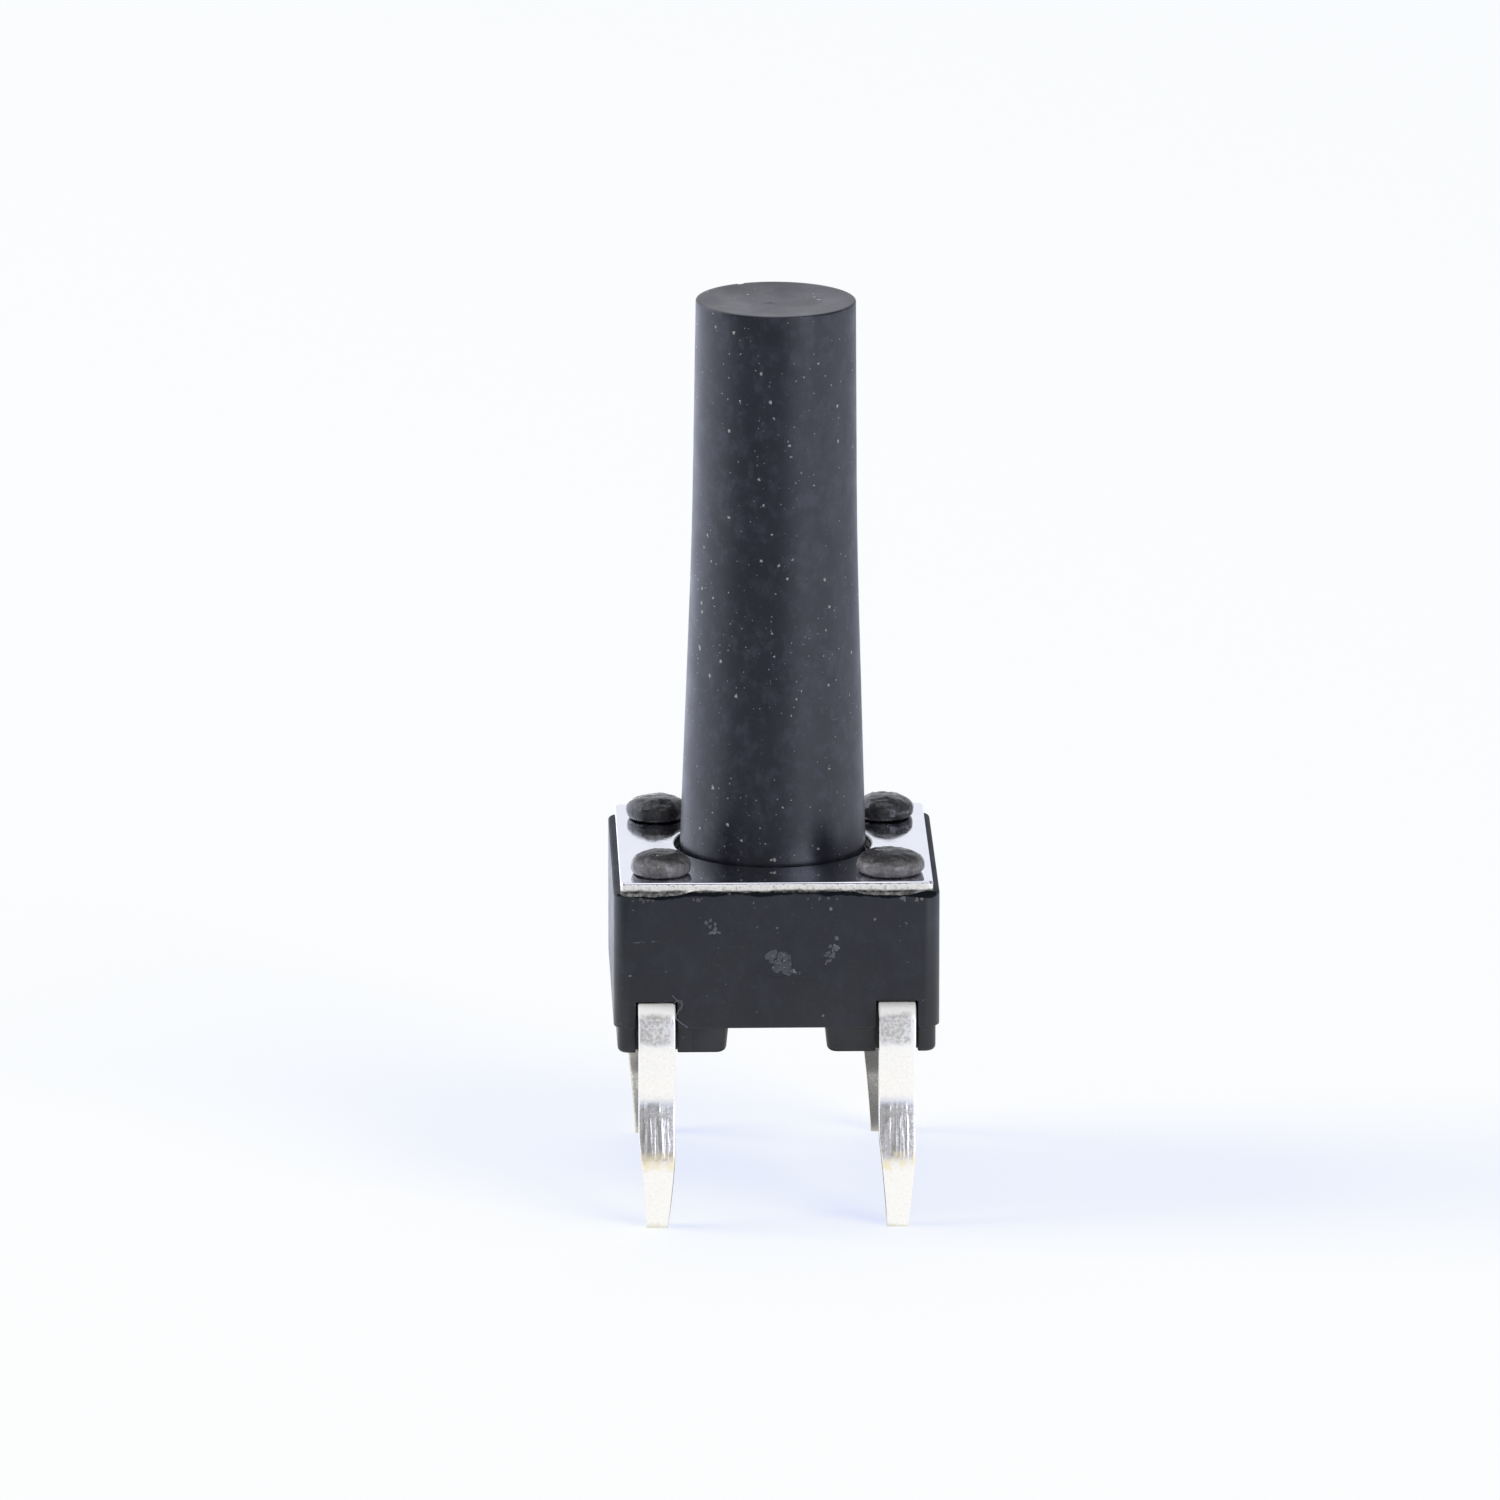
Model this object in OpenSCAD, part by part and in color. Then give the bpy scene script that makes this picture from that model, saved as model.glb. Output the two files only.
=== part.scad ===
// Through-hole tactile push button switch with a long round plunger.
// Lengths are millimetres. The leg tips stand at z = 0 and the feet meet the board at z = leg_len.

/* [Base] */
// Width of the moulded base, left to right
body_w = 6.1; // [5.9:0.05:6.6]
// Depth of the moulded base, from the front legs to the rear legs
body_d = 6.1; // [5.9:0.05:6.6]
// Height of the base's top face above the board
body_h = 3.1; // [3:0.05:3.6]
// Radius of the base's upright corners
corner_r = 0.3; // [0.1:0.05:0.4]
// Height of the feet, from the board to the underside
foot_h = 0.5; // [0.3:0.05:0.55]
// How far the feet stand back from the base's sides
foot_inset = 0.07; // [0.03:0.01:0.12]
// Radius of the feet's upright corners
foot_r = 0.2; // [0.1:0.05:0.3]
// Width of the channels between the feet
channel_w = 1.8; // [1.2:0.1:2.2]
// Depth of the notches that the legs leave the base through
notch_depth = 0.35; // [0.3:0.05:0.5]
// Clearance beside and above a leg in its notch
notch_gap = 0.06; // [0.03:0.01:0.1]
// Diameter of the gate mark on the front face
gate_d = 0.55; // [0.4:0.05:0.8]
// Height of the gate mark above the board
gate_h = 1.75; // [1.5:0.05:2]
// Diameter of the ejector mark under the base
ejector_d = 1.2; // [0.8:0.1:1.6]
// Depth of the gate, ejector and core marks
mark_depth = 0.03; // [0.02:0.01:0.06]
// Width of the core mark on the left foot
core_mark_w = 0.68; // [0.4:0.04:0.8]

/* [Heat stakes] */
// Diameter of the four posts that hold the cover
post_d = 0.8; // [0.6:0.05:0.9]
// Distance from the base's sides to the middle of a post
post_inset = 0.9; // [0.85:0.01:0.95]
// Diameter of a melted head
head_d = 1.15; // [1.05:0.05:1.3]
// Width of the ring that a melted head stands on, around its post
head_seat = 0.1; // [0.09:0.01:0.12]
// Height of a melted head above the cover
head_h = 0.37; // [0.3:0.01:0.45]
// Height of a head's widest part above the cover
head_brim = 0.18; // [0.1:0.01:0.22]

/* [Cover] */
// Thickness of the cover plate
cover_t = 0.2; // [0.15:0.05:0.3]
// Width of the base's top that shows on each side of the cover
cover_ledge = 0.125; // [0.05:0.025:0.2]
// Radius of the cover's corners
cover_r = 0.1; // [0.05:0.05:0.2]
// Clearance around the stem where it passes through the cover
stem_gap = 0.1; // [0.06:0.01:0.15]
// Clearance around a post in the cover
post_gap = 0.05; // [0.02:0.01:0.08]

/* [Plunger] */
// Height of the plunger's tip above the board
plunger_h = 13.8; // [10:0.1:18]
// Diameter of the stem at its tip
stem_tip_d = 3; // [2.6:0.1:3.1]
// Diameter of the stem where its lower taper starts
stem_mid_d = 3.1; // [2.8:0.05:3.2]
// Diameter of the stem at the cover
stem_foot_d = 3.5; // [3.3:0.1:3.6]
// Height of the lower taper, up from the cover
taper_h = 5.9; // [3:0.1:6.4]
// Length over which the two tapers blend
blend_len = 2.8; // [1:0.1:3]
// Depth of the dish in the tip
dish_depth = 0.08; // [0.02:0.01:0.15]
// Width of the flat rim around the dish
dish_rim = 0.06; // [0.04:0.01:0.2]
// Width of the small chamfer around the tip
tip_chamfer = 0.03; // [0.02:0.01:0.05]
// Diameter of the flange under the cover
flange_d = 4.4; // [4.2:0.1:4.5]
// Thickness of the flange
flange_t = 0.6; // [0.4:0.05:0.7]
// Width of the flange across its two flats
flange_flat = 3.9; // [3.7:0.1:4]
// Diameter of the nub that presses the dome
nub_d = 1.2; // [0.8:0.1:1.6]
// Clearance around the flange in its guide
slide_gap = 0.08; // [0.04:0.01:0.1]
// Free play over and under the plunger at rest
play = 0.02; // [0.01:0.005:0.03]

/* [Contact dome] */
// Diameter of the dome
dome_d = 3.7; // [3.5:0.05:3.75]
// Height of the dome, rim to crown
dome_h = 0.42; // [0.38:0.01:0.5]
// Thickness of the dome
dome_t = 0.07; // [0.05:0.01:0.08]
// Clearance around the dome in its pocket
dome_gap = 0.06; // [0.04:0.01:0.08]
// Travel of the plunger until the dome closes the contact
travel = 0.25; // [0.2:0.01:0.28]

/* [Terminals] */
// Pitch between the left and the right legs
leg_pitch = 4.5; // [4.4:0.05:4.6]
// Width of a leg
leg_w = 0.7; // [0.6:0.05:0.75]
// Thickness of the terminal sheet
sheet_t = 0.3; // [0.25:0.05:0.3]
// Length of the legs below the board
leg_len = 3.25; // [2.8:0.05:4]
// Gap between a leg and the base's face
leg_gap = 0.05; // [0.02:0.01:0.1]
// Radius of the bend where a leg turns down, at mid-thickness
bend_r = 0.3; // [0.25:0.01:0.3]
// Height above the board where a leg starts to lean in
lean_h = 0.25; // [0.15:0.05:0.3]
// How far the upper kink goes in towards the base
kink_in = 0.15; // [0.05:0.01:0.2]
// How far the lower kink comes out
kink_out = 0.15; // [0.05:0.01:0.25]
// Depth of the upper kink below the board
kink_in_drop = 0.9; // [0.7:0.05:1.1]
// Depth of the lower kink below the board
kink_out_drop = 1.9; // [1.6:0.05:2.2]
// Width of a leg at its tip
tip_w = 0.42; // [0.3:0.02:0.5]
// Length of the pointed end of a leg
point_len = 1.7; // [0.8:0.1:2]
// Height of the terminal strip's underside above the board
strip_h = 0.65; // [0.6:0.01:0.7]
// Width of the strip inside the base
strip_w = 0.4; // [0.3:0.05:0.45]
// How far the contact faces are stepped up above the strip
contact_rise = 0.2; // [0.17:0.01:0.25]
// How far the contact faces stand proud of the pocket's floor
contact_proud = 0.05; // [0.02:0.01:0.08]
// Radial width of the rim contact
ring_w = 0.5; // [0.4:0.05:0.55]
// Half of the angle at which the rim contact is open for the tongue
ring_open = 35; // [32:1:45]
// Width of the arm that carries the rim contact
arm_w = 1.2; // [0.8:0.1:1.4]
// Width of the tongue to the centre contact
tongue_w = 0.9; // [0.7:0.05:1]
// Diameter of the centre contact's pad
pad_d = 1.5; // [1.2:0.1:1.6]
// Diameter of the raised bump on the pad
bump_d = 0.7; // [0.5:0.1:0.8]

/* [Hidden] */
$fn = 64;
cut = 0.5;
arc_steps = 8;
shoulder_gap = 0.3;
ring_margin = 0.1;
brim_edge = 0.04;
lean_r = 0.1;
kink_r = 0.25;
step_run = 0.22;
jog_w = 0.5;
side_steps = 16;

strip_mid = strip_h + sheet_t / 2;
contact_top = strip_h + sheet_t + contact_rise;
floor_h = contact_top - contact_proud;
crown_h = contact_top + dome_h;
bump_top = crown_h - dome_t - (travel - play);
flange_top = body_h - play;
flange_low = flange_top - flange_t;
shoulder_h = flange_low - travel - shoulder_gap;
cover_top = body_h + cover_t;

leg_x = leg_pitch / 2;
row_y = body_d / 2 + leg_gap + sheet_t / 2;
post_x = body_w / 2 - post_inset;
post_y = body_d / 2 - post_inset;
notch_w = leg_w + 2 * notch_gap;
notch_top = strip_h + sheet_t + notch_gap;
ring_r = dome_d / 2 + ring_margin;
strip_x = ring_r + step_run + strip_w / 2;
contact_mid = strip_mid + contact_rise;
pocket_r = dome_d / 2 + dome_gap;
guide_r = flange_d / 2 + slide_gap;
jog_y = row_y - bend_r - notch_depth;

// A rectangle with rounded corners
module rounded_plan(w, d, r) {
    square([w - 2 * r, d], center = true);
    square([w, d - 2 * r], center = true);
    for (sx = [-1, 1], sy = [-1, 1])
        translate([sx * (w / 2 - r), sy * (d / 2 - r)]) circle(r);
}

// A round column with two flats, standing on z = 0
module flatted_disc(r, flat, h) {
    linear_extrude(h) intersection() {
        circle(r);
        square([2 * r + 1, flat], center = true);
    }
}

function unit(v) = v / norm(v);
function side_of(a, b) = let (u = unit(b - a)) [-u[1], u[0]];

// A path with each of its inner corners replaced by a short curve
function curve_at(a, b, c, reach) = [
    let (p = b + unit(a - b) * reach, q = b + unit(c - b) * reach)
    for (i = [0 : arc_steps]) let (t = i / arc_steps)
        p * (1 - t) * (1 - t) + b * 2 * t * (1 - t) + q * t * t
];
function rounded_path(p, reach) = concat(
    [p[0]],
    [for (i = [1 : len(p) - 2]) each curve_at(p[i - 1], p[i], p[i + 1], reach[i])],
    [p[len(p) - 1]]
);

// Offset from a path's point to the sheet's face, mitred between its two neighbours
function face_at(p, i) =
    i == 0 ? side_of(p[0], p[1])
    : i == len(p) - 1 ? side_of(p[i - 1], p[i])
    : let (a = side_of(p[i - 1], p[i]), b = side_of(p[i], p[i + 1])) (a + b) / (1 + a * b);
function sheet_outline(p) = concat(
    [for (i = [0 : len(p) - 1]) p[i] + face_at(p, i) * sheet_t / 2],
    [for (i = [len(p) - 1 : -1 : 0]) p[i] - face_at(p, i) * sheet_t / 2]
);

// Bent sheet of width w whose path runs in y and z
module sheet_yz(path, w) {
    rotate([90, 0, 90]) linear_extrude(w, center = true) polygon(sheet_outline(path));
}

// Bent sheet of width w whose path runs in x and z
module sheet_xz(path, w) {
    rotate([90, 0, 0]) linear_extrude(w, center = true) polygon(sheet_outline(path));
}

// Middle surface of a leg in y and z, from the strip out, round the bend and down past the tip
leg_path = rounded_path([
    [0, strip_mid],
    [row_y, strip_mid],
    [row_y, lean_h],
    [row_y - kink_in, -kink_in_drop],
    [row_y + kink_out, -kink_out_drop],
    [row_y + kink_out / 2, -leg_len - cut]
], [0, bend_r, lean_r, kink_r, kink_r, 0]);

// Front view of a leg with its pointed end, middle at x = 0
module leg_front() {
    polygon([
        [-leg_w / 2, body_h], [leg_w / 2, body_h],
        [leg_w / 2, point_len - leg_len], [tip_w / 2, -leg_len],
        [-tip_w / 2, -leg_len], [-leg_w / 2, point_len - leg_len]
    ]);
}

// Top view of the strip and of the jog at each end that leads out to a leg
module strip_plan() {
    inner_x = min(leg_x - leg_w / 2, strip_x - strip_w / 2);
    outer_x = max(leg_x + leg_w / 2, strip_x + strip_w / 2);
    translate([strip_x, 0]) square([strip_w, 2 * jog_y], center = true);
    for (side = [-1, 1])
        translate([(inner_x + outer_x) / 2, side * jog_y]) square([outer_x - inner_x, jog_w], center = true);
}

// Front and rear leg and the strip between them, one bent sheet on the side of +x
module leg_pair() {
    last = len(leg_path) - 1;
    rear = [for (i = [1 : last]) leg_path[i]];
    front = [for (i = [last : -1 : 1]) [-leg_path[i][0], leg_path[i][1]]];
    intersection() {
        sheet_yz(concat(front, rear), 2 * body_w);
        union() {
            linear_extrude(body_h) strip_plan();
            for (side = [0, 1]) mirror([0, side, 0]) translate([leg_x, 2 * body_d, 0])
                rotate([90, 0, 0]) linear_extrude(2 * body_d - jog_y) leg_front();
        }
    }
}

// Stamping of the left legs, with the open ring that the dome's rim stands on
module rim_stamping() {
    mirror([1, 0, 0]) leg_pair();
    sheet_xz([
        [-strip_x, strip_mid],
        [-ring_r - step_run, strip_mid],
        [-ring_r, contact_mid],
        [-ring_r + ring_w / 2, contact_mid]
    ], arm_w);
    translate([0, 0, contact_mid]) linear_extrude(sheet_t, center = true) difference() {
        circle(ring_r);
        circle(ring_r - ring_w);
        polygon([
            [0, 0],
            [2 * ring_r, -2 * ring_r * tan(ring_open)],
            [2 * ring_r, 2 * ring_r * tan(ring_open)]
        ]);
    }
}

// Stamping of the right legs, with the tongue and the pad under the dome's crown
module centre_stamping() {
    step_x = pad_d / 2 + step_run;
    leg_pair();
    sheet_xz([
        [strip_x, strip_mid],
        [step_x + step_run, strip_mid],
        [step_x, contact_mid],
        [pad_d / 4, contact_mid]
    ], tongue_w);
    translate([0, 0, contact_mid]) cylinder(h = sheet_t, d = pad_d, center = true);
    contact_bump();
}

// Rounded bump in the middle of the pad
module contact_bump() {
    rise = bump_top - contact_top;
    ball_r = (bump_d * bump_d / 4 + rise * rise) / (2 * rise);
    intersection() {
        translate([0, 0, contact_mid]) cylinder(h = sheet_t + rise, d = bump_d);
        translate([0, 0, bump_top - ball_r]) sphere(ball_r);
    }
}

// Top view of the four feet, with the channels between them and the core mark on the front left one
module feet_plan() {
    difference() {
        rounded_plan(body_w - 2 * foot_inset, body_d - 2 * foot_inset, foot_r);
        square([channel_w, body_d], center = true);
        square([body_w, channel_w], center = true);
        translate([-channel_w / 2 - core_mark_w, -body_d / 2])
            square([core_mark_w + channel_w / 2, foot_inset + mark_depth]);
    }
}

// Melted head of a post, standing on the cover
module stake_head() {
    brim_r = head_d / 2;
    dome_points = [for (i = [0 : arc_steps]) let (a = 90 * i / arc_steps)
        [brim_r * cos(a), head_brim + (head_h - head_brim) * sin(a)]];
    seat_r = post_d / 2 + head_seat;
    rotate_extrude() polygon(concat([[0, 0], [seat_r, 0], [brim_r, head_brim - brim_edge]], dome_points));
}

// Shape at each of the four posts
module at_posts() {
    for (sx = [-1, 1], sy = [-1, 1]) translate([sx * post_x, sy * post_y, 0]) children();
}

// Shape at each of the four notches, drawn with the base's face at y = 0 and +y outwards
module at_notches() {
    for (sx = [-1, 1], sy = [0, 1])
        mirror([0, sy, 0]) translate([sx * leg_x, body_d / 2, 0]) children();
}

// Moulded housing with its cavity, feet, notches, posts and heads
module base() {
    color("#1d1f24") translate([0, 0, leg_len]) difference() {
        union() {
            translate([0, 0, foot_h]) linear_extrude(body_h - foot_h) rounded_plan(body_w, body_d, corner_r);
            linear_extrude(strip_h) feet_plan();
            at_posts() translate([0, 0, strip_h])
                cylinder(h = cover_top + head_brim / 2 - strip_h, d = post_d);
            at_posts() translate([0, 0, cover_top]) stake_head();
        }
        translate([0, 0, shoulder_h])
            flatted_disc(guide_r, flange_flat + 2 * slide_gap, body_h - shoulder_h + cut);
        translate([0, 0, floor_h]) cylinder(h = flange_low - floor_h, r = pocket_r);
        at_notches() translate([-notch_w / 2, -notch_depth, -cut])
            cube([notch_w, notch_depth + cut, notch_top + cut]);
        translate([0, -body_d / 2 + mark_depth, gate_h]) rotate([90, 0, 0]) cylinder(h = cut, d = gate_d);
        translate([0, 0, foot_h + mark_depth - cut]) cylinder(h = cut, d = ejector_d);
        rim_stamping();
        centre_stamping();
    }
}

// Pierced plate held down by the four heads
module cover() {
    color("#cfd1d6") translate([0, 0, leg_len + body_h]) difference() {
        linear_extrude(cover_t) rounded_plan(body_w - 2 * cover_ledge, body_d, cover_r);
        translate([0, 0, -cut]) cylinder(h = cover_t + 2 * cut, d = stem_foot_d + 2 * stem_gap);
        at_posts() translate([0, 0, -cut]) cylinder(h = cover_t + 2 * cut, d = post_d + 2 * post_gap);
    }
}

// Radius of the stem at a height above the cover, two tapers joined by a smooth blend
function stem_r(h) =
    let (upper = (stem_mid_d - stem_tip_d) / 2 / (plunger_h - cover_top - taper_h))
    let (lower = (stem_foot_d - stem_mid_d) / 2 / taper_h)
    let (s = h - taper_h, b = blend_len / 2)
    let (bent = s < -b ? -s : s > b ? 0 : (b - s) * (b - s) / (4 * b))
    stem_mid_d / 2 - upper * s + (lower - upper) * bent;

// Outline of the stem with the dish in its tip, from the axis outwards and down to the cover
module stem_outline() {
    tip_z = plunger_h - cover_top;
    dish_r = stem_tip_d / 2 - tip_chamfer - dish_rim;
    dish = [for (i = [0 : arc_steps]) let (x = dish_r * i / arc_steps)
        [x, tip_z - dish_depth * (1 - x * x / (dish_r * dish_r))]];
    side = [for (i = [0 : side_steps]) let (h = (tip_z - tip_chamfer) * (1 - i / side_steps)) [stem_r(h), h]];
    root_z = flange_top - flange_t / 2 - cover_top;
    polygon(concat(dish, [[stem_tip_d / 2 - tip_chamfer, tip_z]], side, [[stem_r(0), root_z], [0, root_z]]));
}

// Stem, flange and nub in one moulding
module plunger() {
    color("#23252b") translate([0, 0, leg_len]) {
        translate([0, 0, cover_top]) rotate_extrude() stem_outline();
        translate([0, 0, flange_low]) flatted_disc(flange_d / 2, flange_flat, flange_t);
        translate([0, 0, crown_h + play]) cylinder(h = flange_low - crown_h, d = nub_d);
    }
}

// Snap dome, a thin spherical cap standing on the rim contact
module contact_dome() {
    ball_r = (dome_d * dome_d / 4 + dome_h * dome_h) / (2 * dome_h);
    rim_z = ball_r - dome_h;
    color("#b9bbc0") translate([0, 0, leg_len + contact_top - rim_z]) intersection() {
        difference() {
            sphere(ball_r);
            sphere(ball_r - dome_t);
        }
        translate([0, 0, rim_z]) cylinder(h = 2 * dome_h, d = 2 * dome_d);
    }
}

// Left terminal with the rim contact
module rim_terminal() {
    color("#c9c8c2") translate([0, 0, leg_len]) rim_stamping();
}

// Right terminal with the centre contact
module centre_terminal() {
    color("#c9c8c2") translate([0, 0, leg_len]) centre_stamping();
}

base();
cover();
plunger();
contact_dome();
rim_terminal();
centre_terminal();
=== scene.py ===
import math

import bmesh
import bpy
from mathutils import Matrix, Vector
from mathutils import noise as fieldNoise


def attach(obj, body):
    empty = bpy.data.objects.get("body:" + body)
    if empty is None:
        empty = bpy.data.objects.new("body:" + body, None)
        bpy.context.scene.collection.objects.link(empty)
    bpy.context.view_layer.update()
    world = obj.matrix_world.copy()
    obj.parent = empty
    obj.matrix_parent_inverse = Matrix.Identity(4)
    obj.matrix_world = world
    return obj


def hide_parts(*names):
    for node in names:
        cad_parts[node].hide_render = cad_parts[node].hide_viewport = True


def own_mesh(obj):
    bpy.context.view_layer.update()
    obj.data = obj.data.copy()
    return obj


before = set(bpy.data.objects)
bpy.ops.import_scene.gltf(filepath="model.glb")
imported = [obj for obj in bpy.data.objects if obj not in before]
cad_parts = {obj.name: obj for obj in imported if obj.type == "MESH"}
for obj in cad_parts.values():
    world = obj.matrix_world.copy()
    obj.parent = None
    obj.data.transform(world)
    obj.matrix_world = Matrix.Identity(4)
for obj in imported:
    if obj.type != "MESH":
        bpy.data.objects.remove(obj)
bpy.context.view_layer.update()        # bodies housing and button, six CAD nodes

scene = bpy.context.scene
toMetres = Matrix.Scale(0.001, 4)   # pieces are drawn in millimetres and scaled once, at the end


def nodeHeights(node):
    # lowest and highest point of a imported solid
    heights = [v.co.z * 1000 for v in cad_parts[node].data.vertices]
    return round(min(heights), 3), round(max(heights), 3)


boardLevel = nodeHeights("base")[0]   # the feet stand on the board's top face
baseTop, coverTop = nodeHeights("cover")
plungerTip = nodeHeights("plunger")[1]
print("frame loaded:", ", ".join(sorted(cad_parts)))


# ---- node helpers, for materials and for geometry trees

def addNode(tree, kind, inputs=None, **settings):
    made = tree.nodes.new(kind)
    for key, value in settings.items():
        setattr(made, key, value)
    for key, value in (inputs or {}).items():
        socket = made.inputs[key]
        if isinstance(value, bpy.types.NodeSocket):
            tree.links.new(value, socket)
        else:
            socket.default_value = value
    return made


def calc(tree, operation, *values, clamp=False):
    inputs = {i: v for i, v in enumerate(values)}
    return addNode(tree, "ShaderNodeMath", inputs, operation=operation, use_clamp=clamp).outputs[0]


def ramp(tree, value, low, high, outLow=0.0, outHigh=1.0, smooth=True):
    inputs = {"Value": value, "From Min": low, "From Max": high, "To Min": outLow, "To Max": outHigh}
    kind = "SMOOTHSTEP" if smooth else "LINEAR"
    return addNode(tree, "ShaderNodeMapRange", inputs, interpolation_type=kind).outputs["Result"]


def band(tree, value, low, high, edge):
    rise = ramp(tree, value, low - edge, low + edge)
    fall = ramp(tree, value, high - edge, high + edge, 1.0, 0.0)
    return calc(tree, "MULTIPLY", rise, fall)


def mixColour(tree, share, first, second):
    made = addNode(tree, "ShaderNodeMix", data_type="RGBA")
    for index, value in ((0, share), (6, first), (7, second)):
        if isinstance(value, bpy.types.NodeSocket):
            tree.links.new(value, made.inputs[index])
        else:
            made.inputs[index].default_value = (*value, 1) if index else value
    return made.outputs[2]


def noiseField(tree, place, size, detail=2.0, rough=0.5, stretch=None, seed=0.0):
    if stretch:
        place = addNode(tree, "ShaderNodeMapping", {"Vector": place, "Scale": stretch}).outputs["Vector"]
    inputs = {"Vector": place, "Scale": 1 / size, "Detail": detail, "Roughness": rough, "W": seed}
    return addNode(tree, "ShaderNodeTexNoise", inputs, noise_dimensions="4D").outputs["Fac"]


def millimetrePlace(tree):
    place = addNode(tree, "ShaderNodeTexCoord").outputs["Object"]
    return addNode(tree, "ShaderNodeMapping", {"Vector": place, "Scale": (1000, 1000, 1000)}).outputs["Vector"]


def newMaterial(name, **constants):
    material = bpy.data.materials.new(name)
    material.use_nodes = True
    shader = material.node_tree.nodes["Principled BSDF"]
    for key, value in constants.items():
        shader.inputs[key.replace("_", " ")].default_value = value
    return material, material.node_tree, shader


def addBump(tree, shader, *layers):
    normal = None
    for height, depth in layers:   # depth in millimetres
        inputs = {"Height": height, "Distance": depth / 1000, "Strength": 1.0}
        if normal:
            inputs["Normal"] = normal
        normal = addNode(tree, "ShaderNodeBump", inputs).outputs["Normal"]
    tree.links.new(normal, shader.inputs["Normal"])


# ---- materials

def dustDots(tree, place, cell, radius, share):
    inputs = {"Vector": place, "Scale": 22.0, "Detail": 1.0}
    warp = addNode(tree, "ShaderNodeTexNoise", inputs).outputs["Color"]
    warp = addNode(tree, "ShaderNodeVectorMath", {0: warp, "Scale": radius * 1.6}, operation="SCALE").outputs[0]
    place = addNode(tree, "ShaderNodeVectorMath", {0: place, 1: warp}, operation="ADD").outputs[0]
    cells = addNode(tree, "ShaderNodeTexVoronoi", {"Vector": place, "Scale": 1 / cell, "Randomness": 1.0})
    chance = addNode(tree, "ShaderNodeSeparateColor", {"Color": cells.outputs["Color"]})
    reach = calc(tree, "MULTIPLY", ramp(tree, chance.outputs["Green"], 0, 1, 0.35, 1.2, False), radius / cell)
    inner = calc(tree, "MULTIPLY", reach, 0.55)
    inputs = {"Value": cells.outputs["Distance"], "From Min": inner, "From Max": reach, "To Min": 1.0, "To Max": 0.0}
    dot = addNode(tree, "ShaderNodeMapRange", inputs, interpolation_type="SMOOTHSTEP").outputs["Result"]
    kept = calc(tree, "LESS_THAN", chance.outputs["Red"], share)
    return calc(tree, "MULTIPLY", dot, kept), chance.outputs["Blue"]


def scratchLine(tree, place, s):
    # a faint scratch on the front face, broken by noise
    axes = addNode(tree, "ShaderNodeSeparateXYZ", {"Vector": place}).outputs
    level = calc(tree, "ADD", axes["Z"], calc(tree, "MULTIPLY", axes["X"], s["slope"]))
    line = band(tree, level, s["level"] - s["half"], s["level"] + s["half"], s["half"])
    along = band(tree, axes["X"], *s["span"], 0.08)
    broken = ramp(tree, noiseField(tree, place, 0.07, 1.0, seed=21.0), 0.4, 0.6, 0.0, s["tone"])
    front = calc(tree, "LESS_THAN", axes["Y"], -3.0)
    share = calc(tree, "MULTIPLY", calc(tree, "MULTIPLY", line, along), broken)
    return calc(tree, "MULTIPLY", share, front)


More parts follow.
